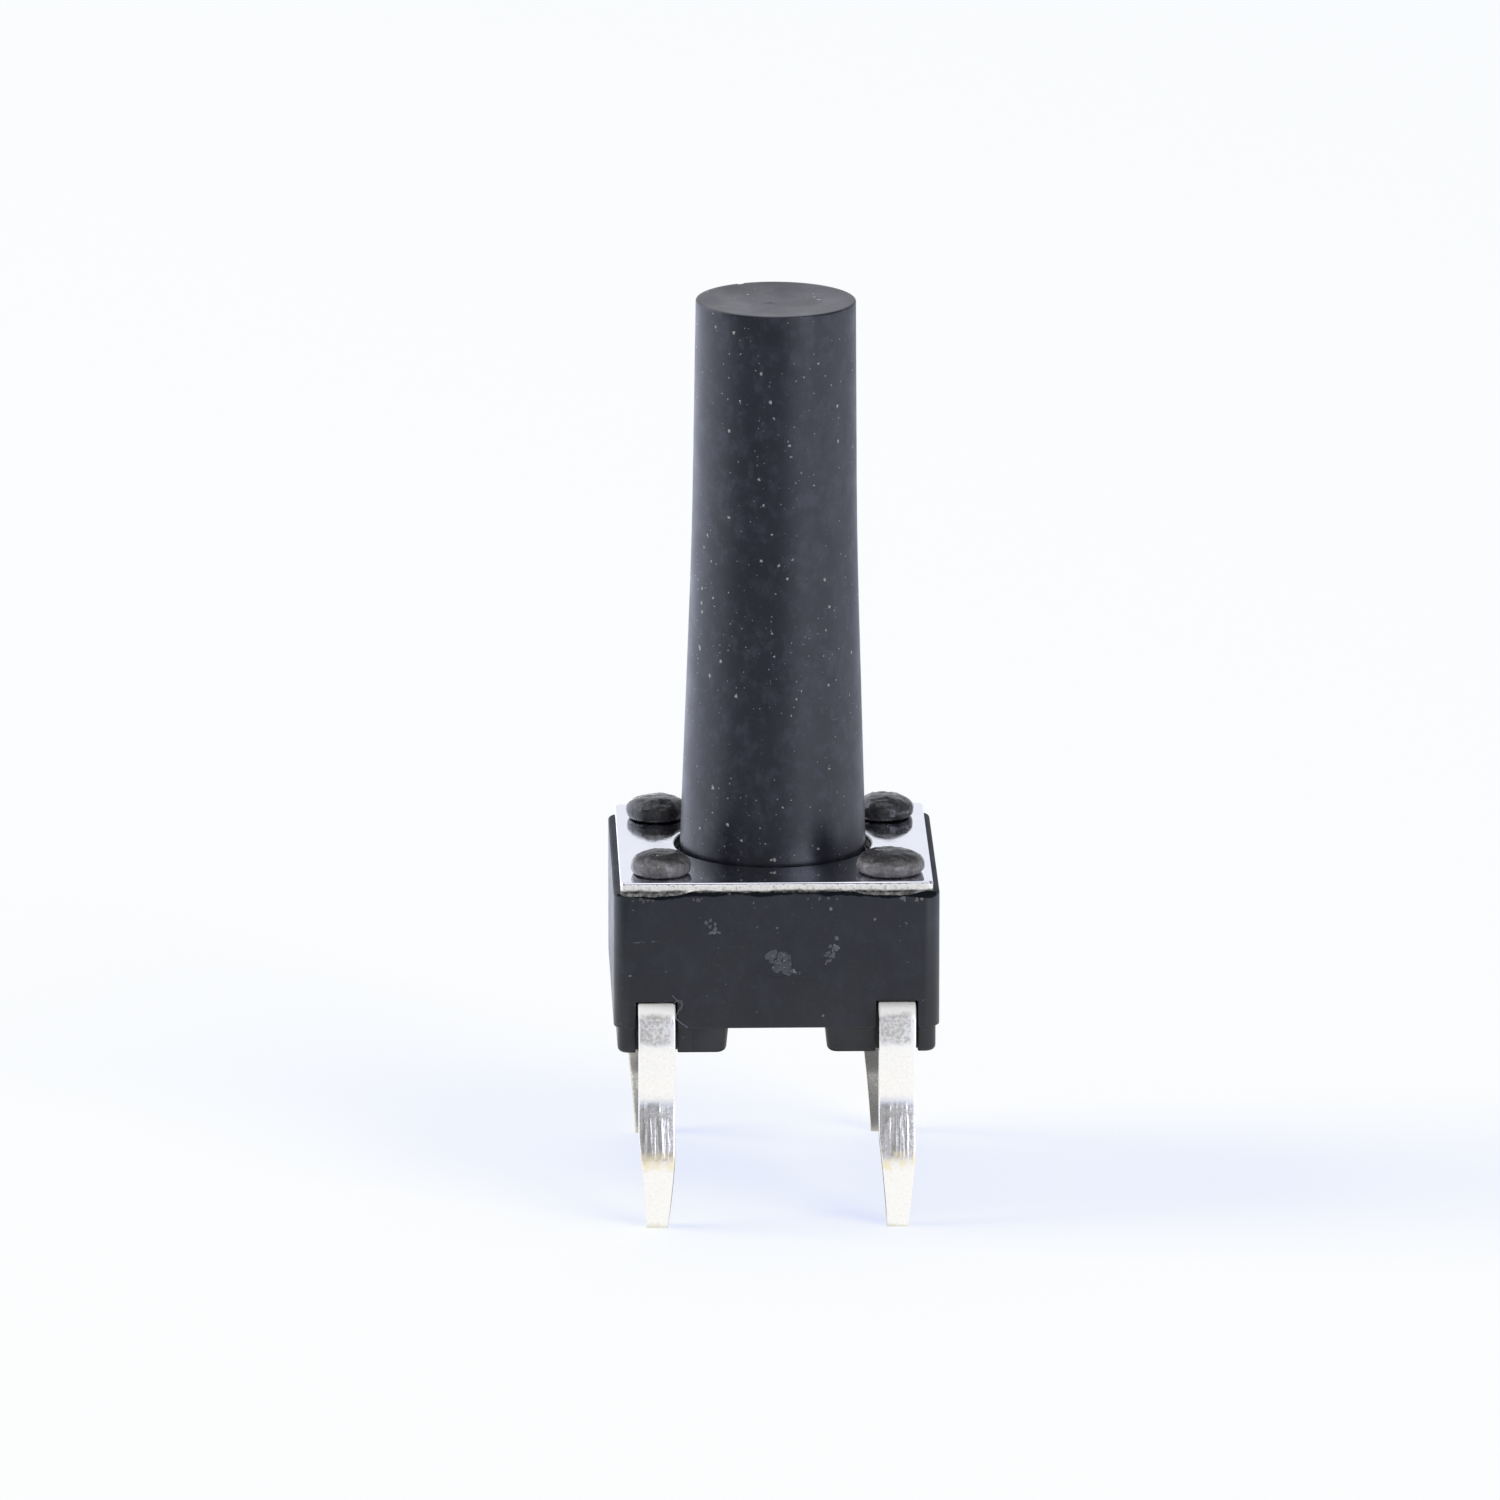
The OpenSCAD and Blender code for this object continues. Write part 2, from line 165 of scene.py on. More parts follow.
def blackPlastic(name, look):
    material, tree, shader = newMaterial(name, IOR=1.5)
    place = millimetrePlace(tree)
    tone = noiseField(tree, place, look["toneSize"], 3.0)
    grain = noiseField(tree, place, look["grainSize"], 2.0, 0.6, seed=3.0)
    body = mixColour(tree, ramp(tree, tone, 0.3, 0.7), look["dark"], look["light"])
    fleck = calc(tree, "MULTIPLY", ramp(tree, grain, 0.55, 0.8), look["grainTone"])
    body = mixColour(tree, fleck, body, look["pale"])
    cloud = noiseField(tree, place, look["hazeSize"], 3.0, 0.6, seed=13.0)
    fibre = noiseField(tree, place, 0.11, 3.0, 0.65, stretch=(1, 1, 0.4), seed=17.0)
    cloud = calc(tree, "ADD", cloud, ramp(tree, fibre, 0.25, 0.75, -0.12, 0.12, False))
    body = mixColour(tree, ramp(tree, cloud, 0.42, 0.75, 0.0, look["hazeTone"]), body, look["haze"])
    if "frontPaintedSheen" in look:   # painted light: the heads nearer the viewer are painted paler as a sheen
        axes = addNode(tree, "ShaderNodeSeparateXYZ", {"Vector": place}).outputs
        share = ramp(tree, axes["Y"], -0.5, 0.5, look["frontPaintedSheen"], 0.0)
        body = mixColour(tree, calc(tree, "MULTIPLY", share, ramp(tree, fibre, 0.3, 0.7, 0.5, 1.3)), body, look["paintedSheen"])
        # painted shade: the up-facing tops are painted darker, most on the front heads
        normal = addNode(tree, "ShaderNodeNewGeometry").outputs["Normal"]
        upward = ramp(tree, addNode(tree, "ShaderNodeSeparateXYZ", {"Vector": normal}).outputs["Z"], 0.5, 1.0)
        upward = calc(tree, "MULTIPLY", upward, ramp(tree, axes["Y"], -0.5, 0.5, 1.0, look["rearPaintedTopShade"]))
        body = mixColour(tree, calc(tree, "MULTIPLY", upward, look["paintedTopShade"]), body, look["dark"])
        tree.links.new(ramp(tree, upward, 0, 1, 0.5, look["topShine"], False), shader.inputs["Specular IOR Level"])
    if "gapShadowLine" in look:   # painted shadow: the uneven gap under the cover's front and rear edges is painted dark, its gloss turned down
        g = look["gapShadowLine"]
        axes = addNode(tree, "ShaderNodeSeparateXYZ", {"Vector": place}).outputs
        wave = noiseField(tree, place, 0.5, 3.0, 0.6, stretch=(1, 1, 0.1), seed=23.0)
        level = calc(tree, "ADD", axes["Z"], ramp(tree, wave, 0.35, 0.65, -g["wave"], g["wave"], False))
        level = calc(tree, "ADD", level, ramp(tree, calc(tree, "ABSOLUTE", axes["X"]), 1.3, 1.9, 0.0, g["ends"]))
        shadowedGap = band(tree, level, g["low"], g["high"] + g["ends"], 0.01)
        shadowedGap = calc(tree, "MULTIPLY", shadowedGap, ramp(tree, calc(tree, "ABSOLUTE", axes["Y"]), 2.9, 2.95))
        body = mixColour(tree, shadowedGap, body, look["dark"])
        tree.links.new(ramp(tree, shadowedGap, 0, 1, 0.5, 0.04, False), shader.inputs["Specular IOR Level"])
    if "scratch" in look:
        body = mixColour(tree, scratchLine(tree, place, look["scratch"]), body, look["dustCool"])
    crowd = ramp(tree, noiseField(tree, place, 1.3, 2.0, seed=11.0), 0.36, 0.64, 0.25, 1.75)
    share = calc(tree, "MULTIPLY", crowd, look["dustShare"])
    dots, tint = dustDots(tree, place, look["dustCell"], look["dustRadius"], share)
    fine, fineTint = dustDots(tree, place, look["dustCell"] * 0.5, look["dustRadius"] * 0.5, share)
    dustColour = mixColour(tree, tint, look["dustCool"], look["dustWarm"])
    body = mixColour(tree, calc(tree, "MULTIPLY", dots, look["dustTone"]), body, dustColour)
    body = mixColour(tree, calc(tree, "MULTIPLY", fine, look["dustTone"] * 0.6), body, look["dustCool"])
    tree.links.new(body, shader.inputs["Base Color"])
    rough = ramp(tree, noiseField(tree, place, look["toneSize"] * 0.4, 2.0, seed=7.0), 0.3, 0.7,
                 look["roughness"] - look["roughSpread"], look["roughness"] + look["roughSpread"])
    if "ledgeRough" in look:   # the rim outside the cover
        level = addNode(tree, "ShaderNodeSeparateXYZ", {"Vector": place}).outputs["Z"]
        rough = calc(tree, "ADD", rough, ramp(tree, level, baseTop - 0.08, baseTop - 0.02, 0.0, look["ledgeRough"]))
    tree.links.new(rough, shader.inputs["Roughness"])
    swell = noiseField(tree, place, look["toneSize"] * 0.5, 1.0, seed=5.0)
    addBump(tree, shader, (grain, look["grainDepth"]), (swell, look["swellDepth"]), (dots, 0.006))
    return material


plungerLook = {
    "dark": (0.0045, 0.0055, 0.009), "light": (0.009, 0.0105, 0.016), "pale": (0.04, 0.043, 0.055),
    "toneSize": 1.6, "grainSize": 0.06, "grainTone": 0.35, "grainDepth": 0.0025, "swellDepth": 0.005,
    "haze": (0.05, 0.052, 0.075), "hazeSize": 0.3, "hazeTone": 0.42,
    "roughness": 0.38, "roughSpread": 0.04,
    "dustCell": 0.24, "dustRadius": 0.036, "dustShare": 0.75, "dustTone": 0.75,
    "dustCool": (0.42, 0.45, 0.54), "dustWarm": (0.46, 0.43, 0.40),
}
baseLook = {
    "dark": (0.007, 0.009, 0.0125), "light": (0.012, 0.014, 0.018), "pale": (0.05, 0.053, 0.06),
    "toneSize": 1.3, "grainSize": 0.08, "grainTone": 0.3, "grainDepth": 0.0025, "swellDepth": 0.006,
    "haze": (0.032, 0.038, 0.055), "hazeSize": 0.45, "hazeTone": 0.28,
    "scratch": {"level": boardLevel + 2.33, "slope": -0.06, "half": 0.008, "span": (-2.85, -2.28), "tone": 0.3},
    # the dark line under the cover's edges is a painted shadow
    "gapShadowLine": {"low": boardLevel + 3.07, "high": boardLevel + 3.2, "wave": 0.035, "ends": 0.045},
    "roughness": 0.38, "roughSpread": 0.05, "ledgeRough": 0.3,
    "dustCell": 0.42, "dustRadius": 0.036, "dustShare": 0.6, "dustTone": 0.5,
    "dustCool": (0.34, 0.37, 0.42), "dustWarm": (0.36, 0.32, 0.27),
}
headLook = {
    "dark": (0.012, 0.013, 0.016), "light": (0.045, 0.046, 0.05), "pale": (0.2, 0.2, 0.21),
    "toneSize": 0.3, "grainSize": 0.05, "grainTone": 0.4, "grainDepth": 0.003, "swellDepth": 0.01,
    # the paler front colour is a painted sheen, the darker tops a painted shade
    "haze": (0.16, 0.15, 0.16), "hazeSize": 0.25, "hazeTone": 0.4, "paintedSheen": (0.26, 0.25, 0.26), "frontPaintedSheen": 0.6, "paintedTopShade": 0.85, "topShine": 0.08, "rearPaintedTopShade": 0.3,
    "roughness": 0.22, "roughSpread": 0.12,
    "dustCell": 0.2, "dustRadius": 0.03, "dustShare": 0.5, "dustTone": 0.6,
    "dustCool": (0.5, 0.5, 0.5), "dustWarm": (0.45, 0.42, 0.36),
}
flashLook = dict(baseLook, dark=(0.05, 0.055, 0.065), light=(0.12, 0.13, 0.15), pale=(0.5, 0.51, 0.54),
                 grainSize=0.03, grainTone=0.85)
burrLook = dict(flashLook, dark=(0.05, 0.052, 0.058), light=(0.12, 0.125, 0.13), pale=(0.34, 0.34, 0.35))
for spare in ("gapShadowLine", "scratch"):
    del flashLook[spare], burrLook[spare]

coverLook = {
    "face": (0.80, 0.81, 0.85), "edge": (0.98, 0.96, 0.90), "groove": (0.42, 0.39, 0.34),
    # the hole colour is a painted shade for the wall of the plunger's hole
    "torn": (0.05, 0.049, 0.048), "grit": (0.26, 0.255, 0.25), "hole": (0.12, 0.115, 0.11), "tornDepth": 0.15, "roughness": 0.07, "edgeRoughness": 0.4, "edgeMetal": 0.35,
    "tornMetal": 0.1,
    "streakSize": 0.09, "faceEnd": 2.9, "holeEnd": 1.88,
}


def coverSteel(look):
    material, tree, shader = newMaterial("coverSteel", Metallic=1.0)
    place = millimetrePlace(tree)
    axes = addNode(tree, "ShaderNodeSeparateXYZ", {"Vector": place})
    front = ramp(tree, calc(tree, "ABSOLUTE", axes.outputs["Y"]), look["faceEnd"] - 0.01, look["faceEnd"] + 0.01)
    wall = ramp(tree, axes.outputs["Z"], coverTop - 0.055, coverTop - 0.03, 1.0, 0.0)
    sheared = calc(tree, "MULTIPLY", front, wall)
    streak = noiseField(tree, place, look["streakSize"], 3.0, 0.65, stretch=(1, 1, 0.5))
    blotch = noiseField(tree, place, 0.5, 3.0, seed=4.0)
    edge = mixColour(tree, ramp(tree, streak, 0.5, 0.72, 0.0, 0.85), look["edge"], look["groove"])
    wave = noiseField(tree, place, 0.6, 3.0, 0.6, stretch=(1, 1, 0.1), seed=6.0)
    depth = calc(tree, "SUBTRACT", coverTop, axes.outputs["Z"])
    depth = calc(tree, "ADD", depth, ramp(tree, wave, 0.35, 0.65, 0.03, -0.03, False))
    torn = ramp(tree, depth, look["tornDepth"] - 0.025, look["tornDepth"] + 0.025)
    grit = mixColour(tree, ramp(tree, streak, 0.4, 0.65), look["torn"], look["grit"])
    edge = mixColour(tree, torn, edge, grit)
    face = mixColour(tree, ramp(tree, blotch, 0.35, 0.7, 0.0, 0.25), look["face"], (0.72, 0.73, 0.79))
    reach = addNode(tree, "ShaderNodeVectorMath", {0: place, 1: (1, 1, 0)}, operation="MULTIPLY").outputs[0]
    reach = addNode(tree, "ShaderNodeVectorMath", {0: reach}, operation="LENGTH").outputs["Value"]
    # painted shade: the wall of the plunger's hole is painted dark, for the shaded gap around the stem
    holeWallShade = ramp(tree, reach, look["holeEnd"] - 0.01, look["holeEnd"] + 0.01, 1.0, 0.0)
    face = mixColour(tree, holeWallShade, face, look["hole"])
    tree.links.new(mixColour(tree, sheared, face, edge), shader.inputs["Base Color"])
    metal = ramp(tree, torn, 0, 1, look["edgeMetal"], look["tornMetal"], False)
    tree.links.new(addNode(tree, "ShaderNodeMix", {0: sheared, 2: 1.0, 3: metal}).outputs[0], shader.inputs["Metallic"])
    smooth = ramp(tree, blotch, 0.3, 0.7, look["roughness"] * 0.7, look["roughness"] * 1.5)
    rough = ramp(tree, streak, 0.3, 0.7, look["edgeRoughness"] * 0.6, look["edgeRoughness"] * 1.4)
    rough = addNode(tree, "ShaderNodeMix", {0: sheared, 2: smooth, 3: rough}).outputs[0]
    tree.links.new(rough, shader.inputs["Roughness"])
    fine = noiseField(tree, place, 0.12, 2.0, seed=9.0)
    addBump(tree, shader, (calc(tree, "MULTIPLY", streak, sheared), 0.02), (fine, 0.0006))
    return material


legLook = {
    "silver": (0.98, 0.97, 0.95), "grey": (0.6, 0.585, 0.54), "warm": (0.95, 0.84, 0.6), "green": (0.74, 0.74, 0.6),
    # the streaked band is a painted dark reflection with streak texture, the bright band a painted highlight line
    "frosted": (0.74, 0.84), "pressed": (0.30, 0.84), "streakedDarkReflection": (-1.9, -0.92), "paintedHighlightLine": (-1.16, -1.02), "stained": (-2.12, -1.76),
    "tip": 0.05, "streakSize": 0.075, "roughness": 0.24, "pressedReach": (-0.32, 0.25), "darkReflectionReach": (-0.3, 0.22),
}


def legSilver(look):
    material, tree, shader = newMaterial("legSilver", Metallic=1.0)
    place = millimetrePlace(tree)
    axes = addNode(tree, "ShaderNodeSeparateXYZ", {"Vector": place}).outputs
    height = axes["Z"]
    across = calc(tree, "SUBTRACT", axes["X"], calc(tree, "MULTIPLY", calc(tree, "SIGN", axes["X"]), 2.25))
    outward = addNode(tree, "ShaderNodeSeparateXYZ", {"Vector": addNode(tree, "ShaderNodeTexCoord").outputs["Normal"]})
    outward = calc(tree, "MULTIPLY", outward.outputs["Y"], calc(tree, "SIGN", axes["Y"]))
    outer = ramp(tree, outward, 0.2, 0.4)   # the marks and the painted dark reflection are on the outer faces
    wander = noiseField(tree, place, 0.25, 2.0, seed=2.0)
    level = calc(tree, "ADD", height, ramp(tree, wander, 0, 1, -0.12, 0.12, False))
    pressed, streakedDarkReflection, paintedHighlightLine, stained = (   # bands between two heights above the board
        band(tree, level, boardLevel + look[key][0], boardLevel + look[key][1], 0.06)
        for key in ("pressed", "streakedDarkReflection", "paintedHighlightLine", "stained"))
    pressed, streakedDarkReflection, stained = (calc(tree, "MULTIPLY", share, outer) for share in (pressed, streakedDarkReflection, stained))
    pressed = calc(tree, "MULTIPLY", pressed, band(tree, across, *look["pressedReach"], 0.03))
    # painted reflection: the streaked band is painted grey where the leg faces the dark room, with streak texture
    inner = ramp(tree, wander, 0.3, 0.7, -0.05, 0.05, False)
    inner = band(tree, calc(tree, "ADD", across, inner), *look["darkReflectionReach"], 0.04)
    streakedDarkReflection = calc(tree, "MULTIPLY", streakedDarkReflection, inner)
    # painted highlight: a lighter line across the painted dark reflection
    streakedDarkReflection = calc(tree, "MULTIPLY", streakedDarkReflection, calc(tree, "SUBTRACT", 1.0, calc(tree, "MULTIPLY", paintedHighlightLine, 0.8)))
    mottle = noiseField(tree, place, 0.06, 3.0, 0.6, seed=6.0)
    streak = noiseField(tree, place, look["streakSize"], 2.0, 0.5, stretch=(1, 0.2, 0.09), seed=1.0)
    innerShadeAndMottle = ramp(tree, outward, -0.4, -0.2, 0.85, 0.0)   # painted shade: the inner faces are painted grey, as they face the shade under the part; a little random mottle lies on all faces
    innerShadeAndMottle = calc(tree, "MULTIPLY", innerShadeAndMottle, ramp(tree, mottle, 0.35, 0.6, 0.5, 1.0))
    innerShadeAndMottle = calc(tree, "MAXIMUM", innerShadeAndMottle, ramp(tree, mottle, 0.45, 0.75, 0.0, 0.1))
    colour = mixColour(tree, innerShadeAndMottle, look["silver"], look["grey"])
    colour = mixColour(tree, calc(tree, "MULTIPLY", pressed, ramp(tree, mottle, 0.36, 0.6, 0.4, 1.0)),
                       colour, look["grey"])
    # painted dark reflection with streaks, in the streaked band
    colour = mixColour(tree, calc(tree, "MULTIPLY", streakedDarkReflection, ramp(tree, streak, 0.42, 0.58, 0.0, 1.0)),
                       colour, look["grey"])
    colour = mixColour(tree, calc(tree, "MULTIPLY", stained, ramp(tree, wander, 0.4, 0.6, 0.1, 0.8)),
                       colour, look["warm"])
    tip = ramp(tree, level, 0.0, look["tip"] * 2, 0.8, 0.0)
    colour = mixColour(tree, tip, colour, look["green"])
    tree.links.new(colour, shader.inputs["Base Color"])
    rough = ramp(tree, mottle, 0.3, 0.7, look["roughness"] * 0.7, look["roughness"] * 1.3)
    rough = calc(tree, "ADD", rough, calc(tree, "MULTIPLY", pressed, 0.36))
    frosted = ramp(tree, height, boardLevel + look["frosted"][0], boardLevel + look["frosted"][1])   # the bend is matt
    rough = calc(tree, "ADD", rough, calc(tree, "MULTIPLY", frosted, 0.3))
    tree.links.new(ramp(tree, frosted, 0, 1, 1.0, 0.2, False), shader.inputs["Metallic"])
    rough = calc(tree, "ADD", rough, calc(tree, "MULTIPLY", streakedDarkReflection, 0.08))
    tree.links.new(rough, shader.inputs["Roughness"])
    pits = calc(tree, "MULTIPLY", calc(tree, "SUBTRACT", mottle, 0.5), ramp(tree, pressed, 0, 1, 0.1, 1.0, False))
    lines = calc(tree, "MULTIPLY", calc(tree, "SUBTRACT", streak, 0.5), ramp(tree, streakedDarkReflection, 0, 1, 0.1, 1.0, False))
    addBump(tree, shader, (pits, 0.014), (lines, 0.02))
    return material


def springSteel():
    material, tree, shader = newMaterial("springSteel", Metallic=1.0)
    place = millimetrePlace(tree)
    lines = noiseField(tree, place, 0.08, 3.0, stretch=(1, 0.06, 1))
    tree.links.new(mixColour(tree, lines, (0.55, 0.56, 0.58), (0.74, 0.75, 0.77)), shader.inputs["Base Color"])
    tree.links.new(ramp(tree, lines, 0.3, 0.7, 0.2, 0.36), shader.inputs["Roughness"])
    addBump(tree, shader, (lines, 0.002))
    return material


plungerPlastic = blackPlastic("plungerPlastic", plungerLook)
basePlastic = blackPlastic("basePlastic", baseLook)
headPlastic = blackPlastic("headPlastic", headLook)
flashPlastic = blackPlastic("flashPlastic", flashLook)
burrPlastic = blackPlastic("burrPlastic", burrLook)
coverMetal = coverSteel(coverLook)
legMetal = legSilver(legLook)
domeMetal = springSteel()
print("materials made:", len(bpy.data.materials))


# ---- mesh helpers

def addPiece(name, mesh):
    piece = bpy.data.objects.new(name, mesh)
    scene.collection.objects.link(piece)
    return piece


def meshFrom(name, points, faces=(), edges=()):
    mesh = bpy.data.meshes.new(name)
    mesh.from_pydata([tuple(p) for p in points], edges, faces)
    return mesh


def ringsMesh(name, rings, capped=True):
    # closed rings of the same length, one above the other
    count = len(rings[0])
    points = [p for ring in rings for p in ring]
    faces = []
    for r in range(len(rings) - 1):
        for i in range(count):
            j = (i + 1) % count
            faces.append((r * count + i, r * count + j, (r + 1) * count + j, (r + 1) * count + i))
    if capped:
        faces.append(tuple(range(count - 1, -1, -1)))
        faces.append(tuple((len(rings) - 1) * count + i for i in range(count)))
    return meshFrom(name, points, faces)


def baked(piece):
    # the evaluated mesh in place of the piece's modifiers
    graph = bpy.context.evaluated_depsgraph_get()
    mesh = bpy.data.meshes.new_from_object(piece.evaluated_get(graph))
    piece.modifiers.clear()
    piece.data = mesh
    return piece


def carve(piece, tool, operation="DIFFERENCE"):
    step = piece.modifiers.new("carve", "BOOLEAN")
    step.object, step.operation, step.solver = tool, operation, "EXACT"
    baked(piece)
    bpy.data.objects.remove(tool)


def roundEdges(piece, width, segments=2, angle=35):
    step = piece.modifiers.new("round", "BEVEL")
    step.width, step.segments, step.limit_method = width, segments, "ANGLE"
    step.angle_limit, step.use_clamp_overlap = math.radians(angle), False
    baked(piece)


def sealed(piece, reach=0.0005):
    build = bmesh.new()
    build.from_mesh(piece.data)
    bmesh.ops.remove_doubles(build, verts=build.verts, dist=reach)
    bmesh.ops.recalc_face_normals(build, faces=build.faces)
    build.to_mesh(piece.data)
    build.free()


def finishPiece(piece, body, slot, material, *nodes, angle=38):
    sealed(piece)
    piece.data.transform(toMetres)
    piece.data.polygons.foreach_set("use_smooth", [True] * len(piece.data.polygons))
    piece.data.set_sharp_from_angle(angle=math.radians(angle))
    step = piece.modifiers.new("even", "WEIGHTED_NORMAL")
    step.keep_sharp, step.weight = True, 90
    baked(piece)
    piece.data.materials.clear()
    piece.data.materials.append(material)
    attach(piece, body)
    if nodes:
        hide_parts(*nodes)
    print(f"piece {piece.name}: {len(piece.data.polygons)} faces")
    return piece


def roundedOutline(width, depth, radius, steps=10, spacing=None):
    # corner by corner, with the straights divided too if a spacing is given
    points = []
    for turn in range(4):
        angle = math.radians(90 * turn)
        sx, sy = ((1, 1), (-1, 1), (-1, -1), (1, -1))[turn]
        centre = Vector((sx * (width / 2 - radius), sy * (depth / 2 - radius)))
        arc = [centre + radius * Vector((math.cos(angle + a), math.sin(angle + a)))
               for a in (math.radians(90) * k / steps for k in range(steps + 1))]
        if points and spacing:
            points.extend(dividedLine(points[-1], arc[0], spacing))
        points.extend(arc)
    if spacing:
        points.extend(dividedLine(points[-1], points[0], spacing))
    return points


def dividedLine(start, end, spacing):
    count = max(1, round((end - start).length / spacing))
    return [start.lerp(end, k / count) for k in range(1, count)]


def prism(name, outline, low, high):
    return addPiece(name, ringsMesh(name, [[(x, y, z) for x, y in outline] for z in (low, high)]))


def boxTool(x0, x1, y0, y1, z0, z1):
    return prism("tool", [(x0, y0), (x1, y0), (x1, y1), (x0, y1)], z0, z1)


def discOutline(radius, steps=96, flat=None):
    points = []
    for k in range(steps):
        a = 2 * math.pi * k / steps
        y = radius * math.sin(a)
        points.append((radius * math.cos(a), y if flat is None else max(-flat, min(flat, y))))
    return points


# ---- geometry trees

def newTree(name, sizes):
    tree = bpy.data.node_groups.new(name, "GeometryNodeTree")
    tree.is_modifier = True
    kinds = {"geometry": "NodeSocketGeometry", "number": "NodeSocketFloat", "count": "NodeSocketInt",
             "material": "NodeSocketMaterial"}
    for label, kind, default in sizes:
        socket = tree.interface.new_socket(name=label, in_out="INPUT", socket_type=kinds[kind])
        if default is not None:
            socket.default_value = default
    tree.interface.new_socket(name="Geometry", in_out="OUTPUT", socket_type="NodeSocketGeometry")
    given = tree.nodes.new("NodeGroupInput").outputs
    return tree, given


def closeTree(tree, geometry, material):
    solid = addNode(tree, "GeometryNodeRealizeInstances", {"Geometry": geometry}).outputs["Geometry"]
    solid = addNode(tree, "GeometryNodeSetMaterial", {"Geometry": solid, "Material": material}).outputs["Geometry"]
    tree.links.new(solid, tree.nodes.new("NodeGroupOutput").inputs["Geometry"])


def grownPiece(name, seedMesh, tree, values):
    piece = addPiece(name, seedMesh)
    step = piece.modifiers.new("grow", "NODES")
    step.node_group = tree
    for item in tree.interface.items_tree:
        if item.item_type == "SOCKET" and item.in_out == "INPUT" and item.name in values:
            step[item.identifier] = values[item.name]
    return baked(piece)


def turnedNodes(tree, profile, steps):
    # a profile of points in x and z turned about the z axis, on a grid whose rows follow the profile
    size = addNode(tree, "GeometryNodeAttributeDomainSize", {"Geometry": profile}, component="MESH")
    count = size.outputs["Point Count"]
    grid = addNode(tree, "GeometryNodeMeshGrid",
                   {"Size X": 1.0, "Size Y": 1.0, "Vertices X": calc(tree, "ADD", steps, 1), "Vertices Y": count})
    spot = addNode(tree, "ShaderNodeSeparateXYZ", {"Vector": addNode(tree, "GeometryNodeInputPosition").outputs[0]})
    row = calc(tree, "MULTIPLY", calc(tree, "ADD", spot.outputs["Y"], 0.5), calc(tree, "SUBTRACT", count, 1))
    row = addNode(tree, "FunctionNodeFloatToInt", {0: row}, rounding_mode="ROUND").outputs[0]
    place = addNode(tree, "GeometryNodeInputPosition").outputs[0]
    point = addNode(tree, "GeometryNodeSampleIndex", {"Geometry": profile, "Value": place, "Index": row},
                    data_type="FLOAT_VECTOR", domain="POINT")
    point = addNode(tree, "ShaderNodeSeparateXYZ", {"Vector": point.outputs["Value"]})
    angle = calc(tree, "MULTIPLY", calc(tree, "ADD", spot.outputs["X"], 0.5), 2 * math.pi)
    x = calc(tree, "MULTIPLY", point.outputs["X"], calc(tree, "COSINE", angle))
    y = calc(tree, "MULTIPLY", point.outputs["X"], calc(tree, "SINE", angle))
    return grid.outputs["Mesh"], x, y, point.outputs["Z"]


def placed(tree, mesh, x, y, z, merge=0.0004):
    spot = addNode(tree, "ShaderNodeCombineXYZ", {"X": x, "Y": y, "Z": z}).outputs["Vector"]
    mesh = addNode(tree, "GeometryNodeSetPosition", {"Geometry": mesh, "Position": spot}).outputs["Geometry"]
    return addNode(tree, "GeometryNodeMergeByDistance", {"Geometry": mesh, "Distance": merge}).outputs["Geometry"]


def turnedTree():
    sizes = [("Profile", "geometry", None), ("Steps", "count", 96), ("Half flat", "number", 100.0),
             ("Material", "material", None)]
    tree, given = newTree("turnedPart", sizes)
    mesh, x, y, z = turnedNodes(tree, given["Profile"], given["Steps"])
    low = calc(tree, "MULTIPLY", given["Half flat"], -1)
    y = calc(tree, "MINIMUM", calc(tree, "MAXIMUM", y, low), given["Half flat"])
    closeTree(tree, placed(tree, mesh, x, y, z), given["Material"])
    return tree


